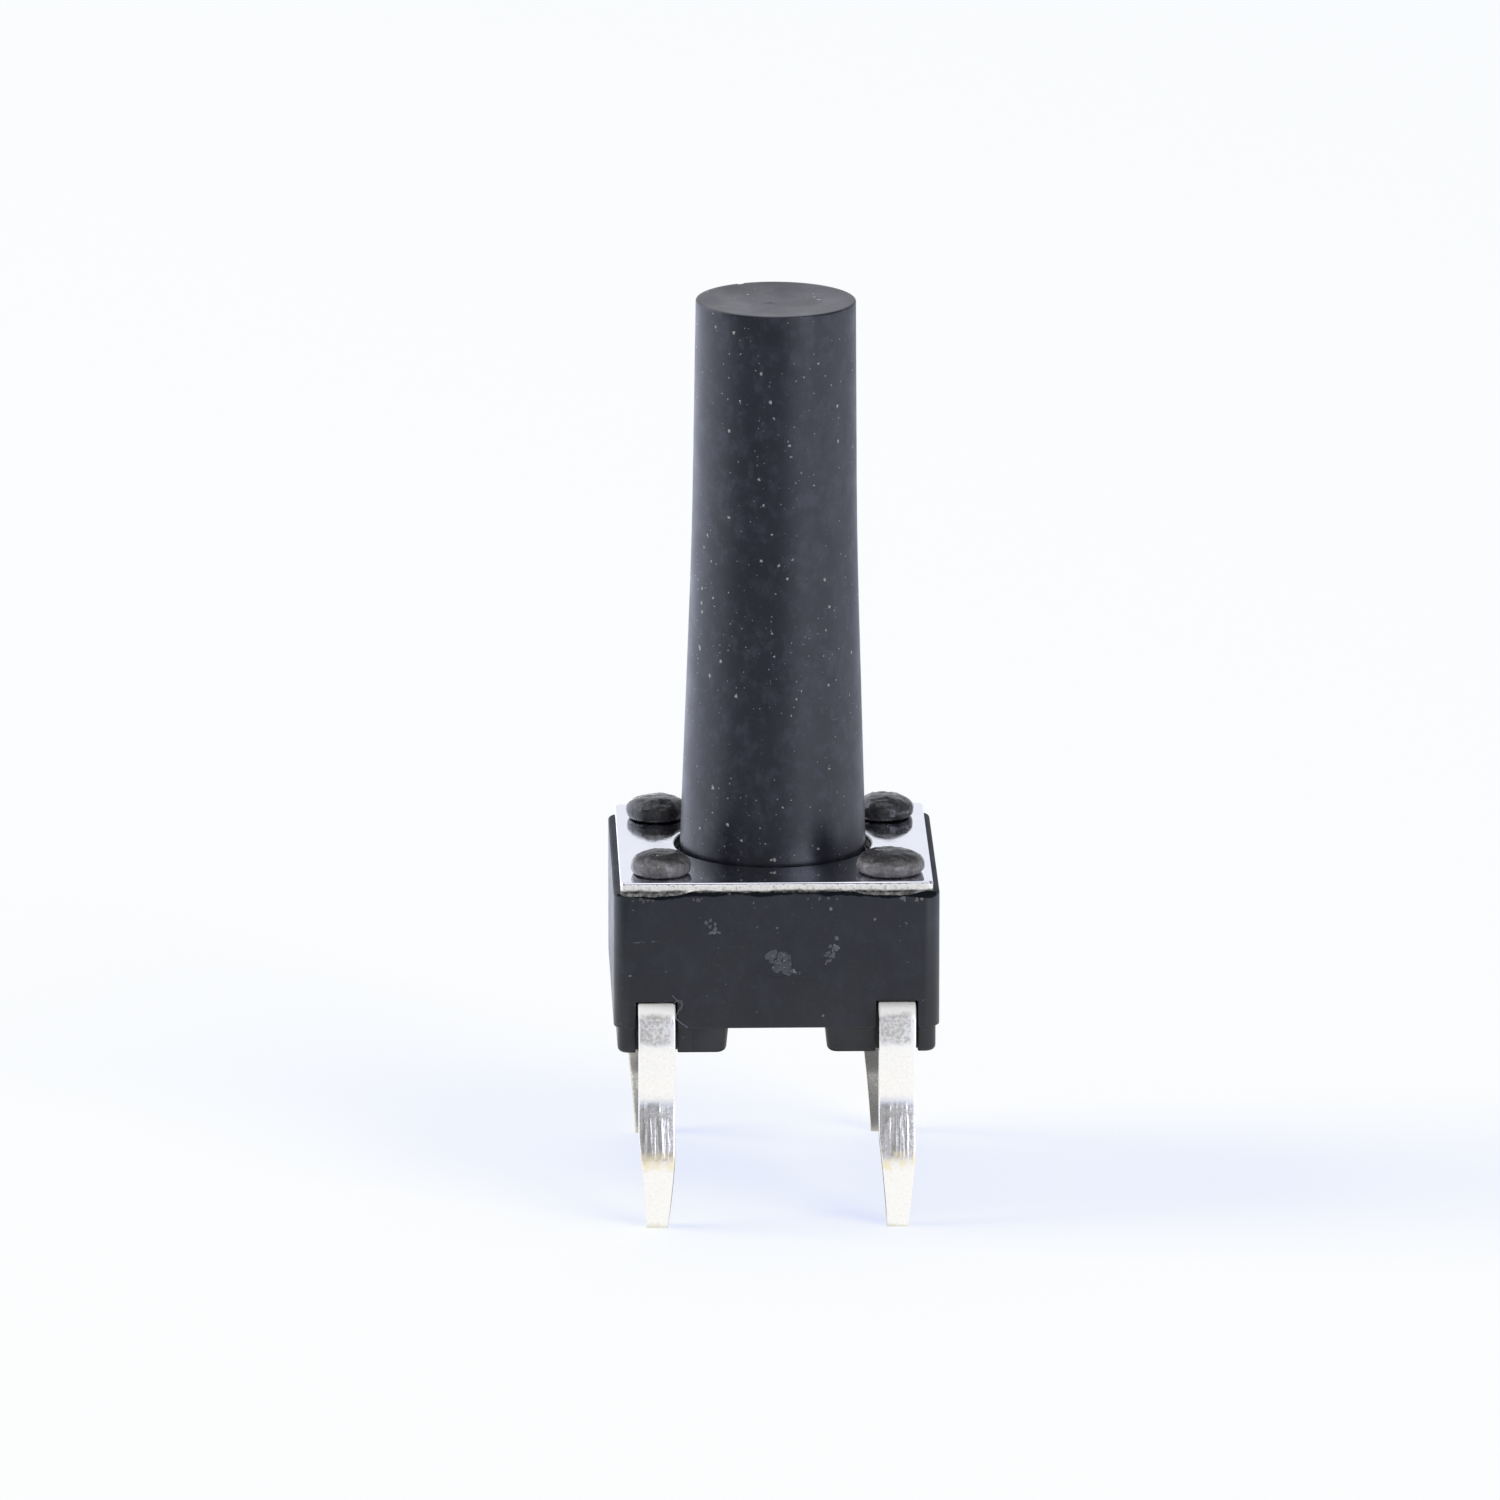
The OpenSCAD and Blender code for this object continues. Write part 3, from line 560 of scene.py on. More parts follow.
def headsTree():
    sizes = [("Profile", "geometry", None), ("Steps", "count", 96), ("Spacing x", "number", 4.3),
             ("Spacing y", "number", 4.3), ("Melt height", "number", 0.02), ("Melt size", "number", 0.4),
             ("Crumple height", "number", 0.01), ("Crumple size", "number", 0.1),
             ("Melt start", "number", 0.0), ("Widest", "number", 0.1), ("Lean", "number", 0.1),
             ("Seed", "count", 1), ("Material", "material", None)]
    tree, given = newTree("meltedHeads", sizes)
    mesh, x, y, z = turnedNodes(tree, given["Profile"], given["Steps"])
    head = placed(tree, mesh, x, y, z)
    posts = addNode(tree, "GeometryNodeMeshGrid",
                    {"Size X": given["Spacing x"], "Size Y": given["Spacing y"], "Vertices X": 2, "Vertices Y": 2})
    low = addNode(tree, "ShaderNodeCombineXYZ", {"Z": 0.0}).outputs["Vector"]
    high = addNode(tree, "ShaderNodeCombineXYZ", {"Z": 2 * math.pi}).outputs["Vector"]
    turn = addNode(tree, "FunctionNodeRandomValue", {0: low, 1: high, "Seed": given["Seed"]}, data_type="FLOAT_VECTOR")
    corner = addNode(tree, "ShaderNodeSeparateXYZ", {"Vector": addNode(tree, "GeometryNodeInputPosition").outputs[0]})
    nearRight = calc(tree, "GREATER_THAN", calc(tree, "SUBTRACT", corner.outputs["X"], corner.outputs["Y"]), 3.0)
    wide = calc(tree, "ADD", calc(tree, "MULTIPLY", nearRight, given["Widest"]), 1.0)
    size = addNode(tree, "ShaderNodeCombineXYZ", {"X": wide, "Y": wide, "Z": 1.0}).outputs["Vector"]
    heads = addNode(tree, "GeometryNodeInstanceOnPoints",
                    {"Points": posts.outputs["Mesh"], "Instance": head, "Rotation": turn.outputs[0], "Scale": size})
    heads = addNode(tree, "GeometryNodeRealizeInstances", {"Geometry": heads.outputs["Instances"]}).outputs["Geometry"]
    place = addNode(tree, "GeometryNodeInputPosition").outputs[0]
    level = addNode(tree, "ShaderNodeSeparateXYZ", {"Vector": place}).outputs["Z"]
    rise = calc(tree, "SUBTRACT", level, given["Melt start"])
    soft = ramp(tree, rise, 0.0, 0.16)
    bulge = meltNoise(tree, place, given["Melt size"], given["Melt height"], given["Seed"])
    crumple = meltNoise(tree, place, given["Crumple size"], given["Crumple height"], given["Seed"])
    push = calc(tree, "MULTIPLY", calc(tree, "ADD", bulge, crumple), soft)
    outward = addNode(tree, "GeometryNodeInputNormal").outputs[0]
    push = addNode(tree, "ShaderNodeVectorMath", {0: outward, "Scale": push}, operation="SCALE").outputs[0]
    heads = addNode(tree, "GeometryNodeSetPosition", {"Geometry": heads, "Offset": push}).outputs["Geometry"]
    lean = calc(tree, "MULTIPLY", ramp(tree, rise, -0.03, 0.0), calc(tree, "MULTIPLY", given["Lean"], -1))
    lean = addNode(tree, "ShaderNodeCombineXYZ", {"Y": lean}).outputs["Vector"]
    heads = addNode(tree, "GeometryNodeSetPosition", {"Geometry": heads, "Offset": lean}).outputs["Geometry"]
    closeTree(tree, heads, given["Material"])
    return tree


def meltNoise(tree, place, size, height, seed):
    inputs = {"Vector": place, "W": seed, "Scale": calc(tree, "DIVIDE", 1.0, size), "Detail": 3.0}
    wave = addNode(tree, "ShaderNodeTexNoise", inputs, noise_dimensions="4D").outputs["Fac"]
    return calc(tree, "MULTIPLY", calc(tree, "MULTIPLY", calc(tree, "SUBTRACT", wave, 0.5), 4.0), height)


def bentSheetTree():
    # a flat strip that follows each path, with its own reach to the left and the right at each point
    sizes = [("Path", "geometry", None), ("Thickness", "number", 0.3), ("Edge radius", "number", 0.03),
             ("Half width", "number", 0.35), ("Material", "material", None)]
    tree, given = newTree("bentSheet", sizes)
    line = addNode(tree, "GeometryNodeMeshToCurve", {"Mesh": given["Path"]}).outputs["Curve"]
    section = addNode(tree, "GeometryNodeCurvePrimitiveQuadrilateral",
                      {"Width": calc(tree, "MULTIPLY", given["Half width"], 2), "Height": given["Thickness"]})
    section = addNode(tree, "GeometryNodeFilletCurve", {"Curve": section.outputs["Curve"],
                      "Radius": given["Edge radius"], "Count": 4}, mode="POLY").outputs["Curve"]
    sheet = addNode(tree, "GeometryNodeCurveToMesh", {"Curve": line, "Profile Curve": section, "Fill Caps": True})
    place = addNode(tree, "GeometryNodeInputPosition").outputs[0]
    across = addNode(tree, "ShaderNodeSeparateXYZ", {"Vector": place}).outputs["X"]
    reads = {}
    for label in ("middle", "leftReach", "rightReach"):
        reads[label] = addNode(tree, "GeometryNodeInputNamedAttribute", {"Name": label},
                               data_type="FLOAT").outputs["Attribute"]
    side = calc(tree, "SIGN", calc(tree, "SUBTRACT", across, reads["middle"]))
    onRight = calc(tree, "GREATER_THAN", side, 0.0)
    reach = addNode(tree, "ShaderNodeMix", {0: onRight, 2: reads["leftReach"], 3: reads["rightReach"]}).outputs[0]
    shift = calc(tree, "MULTIPLY", side, calc(tree, "SUBTRACT", reach, given["Half width"]))
    offset = addNode(tree, "ShaderNodeCombineXYZ", {"X": shift}).outputs["Vector"]
    sheet = addNode(tree, "GeometryNodeSetPosition", {"Geometry": sheet.outputs["Mesh"], "Offset": offset})
    closeTree(tree, sheet.outputs["Geometry"], given["Material"])
    return tree


def flakesTree():
    # small torn flakes scattered on a patch
    sizes = [("Patch", "geometry", None), ("Density", "number", 60.0), ("Flake size", "number", 0.05),
             ("Flatness", "number", 0.4), ("Seed", "count", 1), ("Material", "material", None)]
    tree, given = newTree("tornFlakes", sizes)
    points = addNode(tree, "GeometryNodeDistributePointsOnFaces",
                     {"Mesh": given["Patch"], "Density": given["Density"], "Seed": given["Seed"]})
    flake = addNode(tree, "GeometryNodeMeshIcoSphere", {"Radius": given["Flake size"], "Subdivisions": 2})
    stretch = addNode(tree, "FunctionNodeRandomValue", {0: (0.35, 0.25, 0.3), 1: (1.1, 0.8, 1.0),
                      "Seed": given["Seed"]}, data_type="FLOAT_VECTOR").outputs[0]
    turn = addNode(tree, "FunctionNodeRandomValue", {0: (0.0, 0.0, 0.0), 1: (6.28, 6.28, 6.28),
                   "Seed": calc(tree, "ADD", given["Seed"], 5)}, data_type="FLOAT_VECTOR").outputs[0]
    flakes = addNode(tree, "GeometryNodeInstanceOnPoints", {"Points": points.outputs["Points"],
                     "Instance": flake.outputs["Mesh"], "Scale": stretch, "Rotation": turn})
    flakes = addNode(tree, "GeometryNodeRealizeInstances", {"Geometry": flakes.outputs["Instances"]})
    place = addNode(tree, "GeometryNodeInputPosition").outputs[0]
    torn = meltNoise(tree, place, 0.04, 0.012, given["Seed"])
    outward = addNode(tree, "GeometryNodeInputNormal").outputs[0]
    push = addNode(tree, "ShaderNodeVectorMath", {0: outward, "Scale": torn}, operation="SCALE").outputs[0]
    flakes = addNode(tree, "GeometryNodeSetPosition", {"Geometry": flakes.outputs["Geometry"], "Offset": push})
    closeTree(tree, flakes.outputs["Geometry"], given["Material"])
    return tree


turnedPart = turnedTree()
meltedHeads = headsTree()
bentSheet = bentSheetTree()
tornFlakes = flakesTree()
print("geometry trees made:", len(bpy.data.node_groups))


def profileMesh(name, points):
    edges = [(i, i + 1) for i in range(len(points) - 1)]
    return meshFrom(name, [(x, 0, z) for x, z in points], (), edges)


# ---- plunger: nub, flange and the stem with its two tapers

plunger = {
    "tip": plungerTip, "tipRadius": 1.5, "midRadius": 1.55, "footRadius": 1.75, "taperHeight": 5.9, "blend": 2.8,
    "chamfer": 0.035, "dishRim": 0.05, "dishDepth": 0.08, "flangeRadius": 2.2,
    "flangeLow": boardLevel + 2.48, "flangeTop": boardLevel + 3.08, "flangeFlat": 1.95,
    "nubRadius": 0.6, "nubLow": boardLevel + 1.59, "steps": 256, "lean": 0.3, "leanStart": coverTop - 0.1,
    "nickAngle": 115, "nickWidth": 0.07, "nickDepth": 0.035, "gateSpot": (-0.1, 0.05), "gateRadius": 0.16,
}


def stemRadius(height, p):
    upper = (p["midRadius"] - p["tipRadius"]) / (p["tip"] - coverTop - p["taperHeight"])
    lower = (p["footRadius"] - p["midRadius"]) / p["taperHeight"]
    s, half = height - p["taperHeight"], p["blend"] / 2
    bent = -s if s < -half else 0 if s > half else (half - s) ** 2 / (4 * half)
    return p["midRadius"] - upper * s + (lower - upper) * bent


def roundedCorner(x, z, radius, start, end, steps=5):
    # quarter turn about (x, z) from one angle to the other, in degrees
    return [(x + radius * math.cos(math.radians(a)), z + radius * math.sin(math.radians(a)))
            for a in (start + (end - start) * k / steps for k in range(steps + 1))]


def plungerProfile(p):
    c = p["chamfer"]
    points = [(0, p["nubLow"])]
    points += roundedCorner(p["nubRadius"] - 0.06, p["nubLow"] + 0.06, 0.06, -90, 0)
    points += [(p["nubRadius"], p["flangeLow"])]
    points += roundedCorner(p["flangeRadius"] - 0.04, p["flangeLow"] + 0.04, 0.04, -90, 0, 3)
    points += roundedCorner(p["flangeRadius"] - 0.04, p["flangeTop"] - 0.04, 0.04, 0, 90, 3)
    points += [(p["footRadius"], p["flangeTop"])]
    top = p["tip"] - c
    for k in range(61):
        z = coverTop + (top - coverTop) * k / 60
        points.append((stemRadius(z - coverTop, p), z))
    points += roundedCorner(p["tipRadius"] - c, top, c, 0, 90, 5)[1:]
    rim = p["tipRadius"] - c - p["dishRim"]
    for k in range(25):
        x = rim * (1 - k / 24)
        points.append((x, p["tip"] - p["dishDepth"] * (1 - (x / rim) ** 2)))
    return points


def leaned(piece, p):
    # the stem leans a little to the right in its guide, and has a nick in its rim and a gate spot in its dish
    slope = math.tan(math.radians(p["lean"]))
    nick = Vector((math.cos(math.radians(p["nickAngle"])), math.sin(math.radians(p["nickAngle"])))) * p["tipRadius"]
    for vertex in piece.data.vertices:
        x, y, z = vertex.co
        if z > p["tip"] - 0.3:
            near = (Vector((x, y)) - nick).length / p["nickWidth"]
            if near < 1 and z > p["tip"] - 0.1:
                vertex.co.z -= p["nickDepth"] * (1 - near * near)
                vertex.co.x *= 1 - 0.02 * (1 - near)
                vertex.co.y *= 1 - 0.02 * (1 - near)
            spot = (Vector((x, y)) - Vector(p["gateSpot"])).length / p["gateRadius"]
            if spot < 1:
                ripple = fieldNoise.noise(Vector((x, y, 0)) * 14)
                vertex.co.z += 0.02 * (1 - spot) * (0.6 + ripple)
        rise = max(0.0, z - p["leanStart"])
        if rise:
            vertex.co.x += slope * rise
            vertex.co.z -= slope * (x + p["tipRadius"]) * min(1.0, rise / 8)


stem = grownPiece("plunger_moulding", profileMesh("plungerProfile", plungerProfile(plunger)), turnedPart,
                  {"Steps": plunger["steps"], "Half flat": plunger["flangeFlat"], "Material": plungerPlastic})
leaned(stem, plunger)
finishPiece(stem, "button", "plunger", plungerPlastic, "plunger")

# ---- snap dome under the nub

dome = {"radius": 1.85, "low": boardLevel + 1.15, "height": 0.42, "sheet": 0.07, "steps": 128}


def domeProfile(d):
    ball = (d["radius"] ** 2 + d["height"] ** 2) / (2 * d["height"])
    centre = d["low"] + d["height"] - ball
    points = []
    for radius, order in ((ball - d["sheet"], 1), (ball, -1)):
        reach = math.acos((d["low"] - centre) / radius)
        row = [(radius * math.sin(reach * k / 20), centre + radius * math.cos(reach * k / 20)) for k in range(21)]
        points += row[::order]
    return points


snapDome = grownPiece("snap_dome", profileMesh("domeProfile", domeProfile(dome)), turnedPart,
                      {"Steps": dome["steps"], "Material": domeMetal})
finishPiece(snapDome, "housing", "contact_dome", domeMetal, "contact_dome", angle=50)
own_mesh(snapDome)

# ---- base: block, feet, notches, guide and moulding marks

base = {
    "side": 6.1, "cornerRadius": 0.3, "underside": boardLevel + 0.5, "footLow": boardLevel, "footInset": 0.07, "footCorner": 0.2,
    "channel": 0.9, "footDraft": 0.05, "footRound": 0.1, "legPitch": 4.5, "notchWidth": 0.78, "notchDepth": 0.35,
    "notchTop": boardLevel + 1.01, "guideRadius": 2.28, "guideFlat": 2.03, "shoulder": boardLevel + 1.93,
    "pocketRadius": 1.91, "pocketLow": boardLevel + 1.1, "pocketTop": boardLevel + 2.5,
    "edge": 0.025, "topRound": 0.06, "gateHeight": boardLevel + 1.75, "gateRadius": 0.275, "gateDepth": 0.01, "ejectorRadius": 0.6, "markDepth": 0.03, "coreMark": (-1.58, -0.9),
}


def footPiece(b, sx, sy):
    outer = b["side"] / 2 - b["footInset"]
    rings = []
    levels = [(0.0, b["underside"] + 0.15, -0.3 * b["footDraft"])]
    for k in range(5):
        a = math.radians(90 * k / 4)
        rise = b["footLow"] + b["footRound"] * (1 - math.sin(a))
        share = (b["underside"] - rise) / (b["underside"] - b["footLow"])
        levels.append((b["footRound"] * (1 - math.cos(a)), rise, share * b["footDraft"]))
    for inset, z, draft in levels:
        low = b["channel"] + draft + inset
        size = outer - inset - low
        centre = (outer - inset + low) / 2
        ring = roundedOutline(size, size, max(0.04, b["footCorner"] - inset), 6)
        rings.append([(sx * (centre + x), sy * (centre + y), z) for x, y in ring])
    return addPiece("foot", ringsMesh("foot", rings))


def buildBase(b):
    half = b["side"] / 2
    levels = [(0.0, b["underside"])]
    for k in range(7):
        a = math.radians(90 * k / 6)
        levels.append((b["topRound"] * (1 - math.cos(a)), baseTop - b["topRound"] * (1 - math.sin(a))))
    rings = []
    for inset, z in levels:
        side = b["side"] - 2 * inset
        rings.append([(x, y, z) for x, y in roundedOutline(side, side, b["cornerRadius"] - inset, 14)])
    block = addPiece("base_moulding", ringsMesh("base_moulding", rings))
    sealed(block)
    for sx in (-1, 1):
        for sy in (-1, 1):
            foot = footPiece(b, sx, sy)
            sealed(foot)
            carve(block, foot, "UNION")
    for sx in (-1, 1):
        for sy in (-1, 1):
            x, reach = sx * b["legPitch"] / 2, b["notchWidth"] / 2
            y0, y1 = sorted((sy * (half - b["notchDepth"]), sy * (half + 0.5)))
            carve(block, boxTool(x - reach, x + reach, y0, y1, b["footLow"] - 0.5, b["notchTop"]))
    carve(block, prism("tool", discOutline(b["guideRadius"], 128, b["guideFlat"]), b["shoulder"], baseTop + 0.5))
    carve(block, prism("tool", discOutline(b["pocketRadius"], 128), b["pocketLow"], b["pocketTop"]))
    sealed(block)
    roundEdges(block, b["edge"])
    carve(block, prism("tool", discOutline(b["ejectorRadius"], 64), b["underside"] - 0.5,
                       b["underside"] + b["markDepth"]))
    gate = prism("tool", discOutline(b["gateRadius"], 48), 0, 0.5)
    gate.data.transform(Matrix.Translation((0, -half + b["gateDepth"], b["gateHeight"]))
                        @ Matrix.Rotation(math.radians(90), 4, "X"))
    carve(block, gate)
    x0, x1 = b["coreMark"]
    face = -half + b["footInset"]
    carve(block, boxTool(x0, x1 + 0.2, face - 0.3, face + b["markDepth"], b["footLow"] - 0.3, b["underside"] - 0.03))
    return block


moulding = buildBase(base)
finishPiece(moulding, "housing", "base", basePlastic, "base")

# ---- the four melted heads on their posts

heads = {"spacing": (4.3, 4.14), "postRadius": 0.4, "postLow": boardLevel + 2.3, "seatRadius": 0.5,
         "brimRadius": 0.57, "brim": 0.18, "height": 0.425, "steps": 112,
         "meltHeight": 0.02, "meltSize": 0.42, "crumpleHeight": 0.01, "crumpleSize": 0.15, "seed": 4,
         "widest": 0.12, "lean": 0.14}


def smoothLine(points, divisions):
    # a curve through the points
    line = []
    ends = [points[0]] + points + [points[-1]]
    for i in range(1, len(ends) - 2):
        a, b, c, d = (Vector(ends[i + k]) for k in (-1, 0, 1, 2))
        for k in range(divisions):
            t = k / divisions
            line.append(0.5 * (2 * b + (c - a) * t + (2 * a - 5 * b + 4 * c - d) * t * t
                               + (3 * b - a - 3 * c + d) * t ** 3))
    return [tuple(p) for p in line] + [points[-1]]


def headProfile(h):
    r, top, brim = h["brimRadius"], h["height"], h["brim"]
    post = [(0, h["postLow"]), (h["postRadius"], h["postLow"]), (h["postRadius"], coverTop)]
    shape = [(h["seatRadius"], 0.0), (r - 0.03, 0.045), (r - 0.006, 0.1), (r, brim), (r - 0.03, brim + 0.08),
             (r - 0.12, top - 0.085), (r - 0.26, top - 0.03), (0.15, top - 0.003), (0, top)]
    return post + [(x, coverTop + z) for x, z in smoothLine(shape, 7)]


stakes = grownPiece("melted_heads", profileMesh("headProfile", headProfile(heads)), meltedHeads,
                    {"Steps": heads["steps"], "Spacing x": heads["spacing"][0], "Spacing y": heads["spacing"][1], "Melt height": heads["meltHeight"],
                     "Melt size": heads["meltSize"], "Crumple height": heads["crumpleHeight"],
                     "Crumple size": heads["crumpleSize"], "Melt start": coverTop + 0.02, "Seed": heads["seed"],
                     "Widest": heads["widest"], "Lean": heads["lean"],
                     "Material": headPlastic})
finishPiece(stakes, "housing", "base", headPlastic, angle=75)

# ---- cover plate with its rolled top edge and torn front and rear edges

cover = {"width": 5.85, "depth": 5.96, "cornerRadius": 0.1, "hole": 1.85, "holeRoll": 0.045, "postHole": 0.45,
         "roll": 0.055, "spacing": 0.035, "burr": 0.05, "tear": 0.016, "flare": 0.085, "hang": 0.045,
         "tears": [(-2.45, 0.95), (2.1, 0.7)]}


def coverOutline(c):
    points = roundedOutline(c["width"], c["depth"], c["cornerRadius"], 6, c["spacing"])
    normals = []
    for i, p in enumerate(points):
        along = points[(i + 1) % len(points)] - points[i - 1]
        normals.append(Vector((along.y, -along.x)).normalized())
    return points, normals


def coverRings(c):
    points, normals = coverOutline(c)
    roll, thick = c["roll"], coverTop - baseTop
    levels = [(roll * (1 - math.sin(a)), roll * (1 - math.cos(a)), 0.0, 0.0, 0.0)
              for a in (math.radians(90) * k / 5 for k in range(6))]
    levels += [(0.0, roll + (thick - roll) * k / 5, k / 5, 0.0, 0.0) for k in range(1, 6)]
    # where the edge is torn its burr hangs over the edge of the base
    levels += [(0.0, thick, 1.0, 0.75, 0.1), (0.0, thick, 1.0, 1.0, 1.0), (0.02, thick, 0.0, 0.0, 0.0)]
    rings = []
    for inset, drop, torn, out, hang in levels:
        ring = []
        for p, n in zip(points, normals):
            place = p - n * inset
            sheared = max(0.0, abs(n.y) - 0.4) / 0.6   # only the front and rear edges are torn
            wave = fieldNoise.noise(Vector((p.x * 2.2, p.y, 0.3)))
            fine = fieldNoise.noise(Vector((p.x * 9, p.y, drop * 14)))
            streak = fieldNoise.noise(Vector((p.x * 16, p.y * 3, 4)))
            tear = sheared * max(max(0.0, 1 - (abs(p.x - middle) / half) ** 3) for middle, half in c["tears"])
            push = sheared * torn * c["tear"] * (1 - 0.8 * out) * (fine + 0.9 * streak - 0.5)
            lift = sheared * torn * c["burr"] * (1 - 0.8 * tear) * (0.7 + 1.2 * wave + 0.9 * fine)
            lift -= tear * hang * (c["hang"] + 0.03 * wave + 0.03 * fine)
            push += tear * out * c["flare"]
            low = -0.004 - tear * hang * (c["hang"] + 0.03)
            ring.append((place.x + n.x * push, place.y + n.y * push, coverTop - drop + max(low, lift)))
        rings.append(ring)
    return rings


def holeRings(x, y, radius, roll, steps):
    levels = [(roll * (1 - math.sin(a)), coverTop - roll * (1 - math.cos(a)))
              for a in (math.radians(90) * k / 5 for k in range(6))]
    rings = []
    for grow, z in levels + [(0, baseTop)]:
        rings.append([(x + (radius + grow) * math.cos(2 * math.pi * k / steps),
                       y + (radius + grow) * math.sin(2 * math.pi * k / steps), z) for k in range(steps)])
    return rings


def buildCover(c, spacing):
    build = bmesh.new()
    walls = [coverRings(c), holeRings(0, 0, c["hole"], c["holeRoll"], 160)]
    walls += [holeRings(sx * spacing[0] / 2, sy * spacing[1] / 2, c["postHole"], 0.02, 48)
              for sx in (-1, 1) for sy in (-1, 1)]
    rims = ([], [])
    for rings in walls:
        rows = [[build.verts.new(p) for p in ring] for ring in rings]
        count = len(rows[0])
        for low, high in zip(rows, rows[1:]):
            for i in range(count):
                j = (i + 1) % count
                build.faces.new((low[i], low[j], high[j], high[i]))
        for rim, row in zip(rims, (rows[0], rows[-1])):
            rim.extend(build.edges.get((row[i], row[(i + 1) % count])) for i in range(count))
    for rim in rims:
        bmesh.ops.triangle_fill(build, use_beauty=True, edges=rim)
    mesh = bpy.data.meshes.new("coverPlate")
    build.to_mesh(mesh)
    build.free()
    return addPiece("cover_plate", mesh)


plate = buildCover(cover, heads["spacing"])
finishPiece(plate, "housing", "cover", coverMetal, "cover", angle=60)

# ---- terminals: the two legs of each side follow the bent path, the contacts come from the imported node

leg = {
    "x": 2.25, "width": 0.69, "sheet": 0.3, "rowY": 3.25, "stripMid": boardLevel + 0.835, "bend": 0.175,
    "leanZ": boardLevel + 0.25, "kinkIn": (0.15, boardLevel - 0.9), "kinkOut": (0.147, boardLevel - 1.9), "start": 2.62, "innerEnd": 2.68, "edge": 0.035,
    "tipReach": 0.2, "pointTop": 1.7, "spacing": 0.03, "rearShift": 0.05, "rearLean": 0.04,
}


def smoothPath(corners, reach, steps=14):
    points = [Vector(corners[0])]
    for i in range(1, len(corners) - 1):
        a, b, c = (Vector(corners[i + k]) for k in (-1, 0, 1))
        p, q = b + (a - b).normalized() * reach[i - 1], b + (c - b).normalized() * reach[i - 1]
        points += [p * (1 - t) ** 2 + b * 2 * t * (1 - t) + q * t * t for t in (k / steps for k in range(steps + 1))]
    return points + [Vector(corners[-1])]


def legPath(g):
    (inn, inZ), (out, outZ) = g["kinkIn"], g["kinkOut"]
    y = g["rowY"]
    path = smoothPath([(g["start"], g["stripMid"]), (y, g["stripMid"]), (y, g["leanZ"]), (y - inn, inZ),
                       (y + out, outZ), (y + out / 2, 0.0)], [g["bend"], 0.1, 0.25, 0.25])
    line = [path[0]]
    for p in path[1:]:
        step = p - line[-1]
        for k in range(1, max(1, round(step.length / g["spacing"]))):
            line.append(line[-1] if k == 0 else p - step * (1 - k / max(1, round(step.length / g["spacing"]))))
        line.append(p)
    return line


def legSeed(g, side):
    # front and rear paths, with the reach to both cut edges at each point
    points, edges, reaches = [], [], []
    for sy in (-1, 1):
        first = len(points)
        for y, z in legPath(g):
            shift = g["rearShift"] + g["rearLean"] * min(1.0, max(0.0, boardLevel - z)) if sy > 0 else 0.0
            points.append((side * g["x"] - shift, sy * y, z))
            half = g["width"] / 2
            t = max(0.0, min(1.0, (g["pointTop"] - z) / g["pointTop"]))
            early, late = 1 - (1 - t) ** 1.25, t ** 1.6
            left = half - (half - g["tipReach"]) * early
            right = half - (half - g["tipReach"]) * late
            reaches.append((left, right))
        edges += [(i, i + 1) for i in range(first, len(points) - 1)]
    mesh = meshFrom("legPath", points, (), edges)
    for label, values in (("middle", [p[0] for p in points]), ("leftReach", [r[0] for r in reaches]),
                          ("rightReach", [r[1] for r in reaches])):
        mesh.attributes.new(label, "FLOAT", "POINT").data.foreach_set("value", values)
    return mesh


def innerContact(node, limit):
    # a merged copy of the node's own mesh, in millimetres, cut off where the legs leave the base
    build = bmesh.new()
    build.from_mesh(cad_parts[node].data)
    build.transform(toMetres.inverted())
    bmesh.ops.remove_doubles(build, verts=build.verts, dist=0.0005)
    for sy in (-1, 1):
        everything = build.verts[:] + build.edges[:] + build.faces[:]
        bmesh.ops.bisect_plane(build, geom=everything, plane_co=(0, sy * limit, 0), plane_no=(0, sy, 0),
                               clear_outer=True, dist=1e-5)
        bmesh.ops.holes_fill(build, edges=[e for e in build.edges if e.is_boundary], sides=0)
    mesh = bpy.data.meshes.new(node + "Contact")
    build.to_mesh(mesh)
    build.free()
    return addPiece(node + "Contact", mesh)


def joined(first, second):
    build = bmesh.new()
    for piece in (first, second):
        build.from_mesh(piece.data)
    build.to_mesh(first.data)
    build.free()
    bpy.data.objects.remove(second)


for pieceName, node, side in (("left_terminal", "rim_terminal", -1), ("right_terminal", "centre_terminal", 1)):
    terminal = grownPiece(pieceName, legSeed(leg, side), bentSheet,
                          {"Thickness": leg["sheet"], "Edge radius": leg["edge"], "Half width": leg["width"] / 2,
                           "Material": legMetal})
    for vertex in terminal.data.vertices:   # the tips are cut level
        if vertex.co.z < leg["spacing"] / 2:
            vertex.co.z = 0.0
    sealed(terminal)
    joined(terminal, innerContact(node, leg["innerEnd"]))
    finishPiece(terminal, "housing", "terminals", legMetal, node, angle=42)

# ---- gate scar, flakes and flash left by the moulding

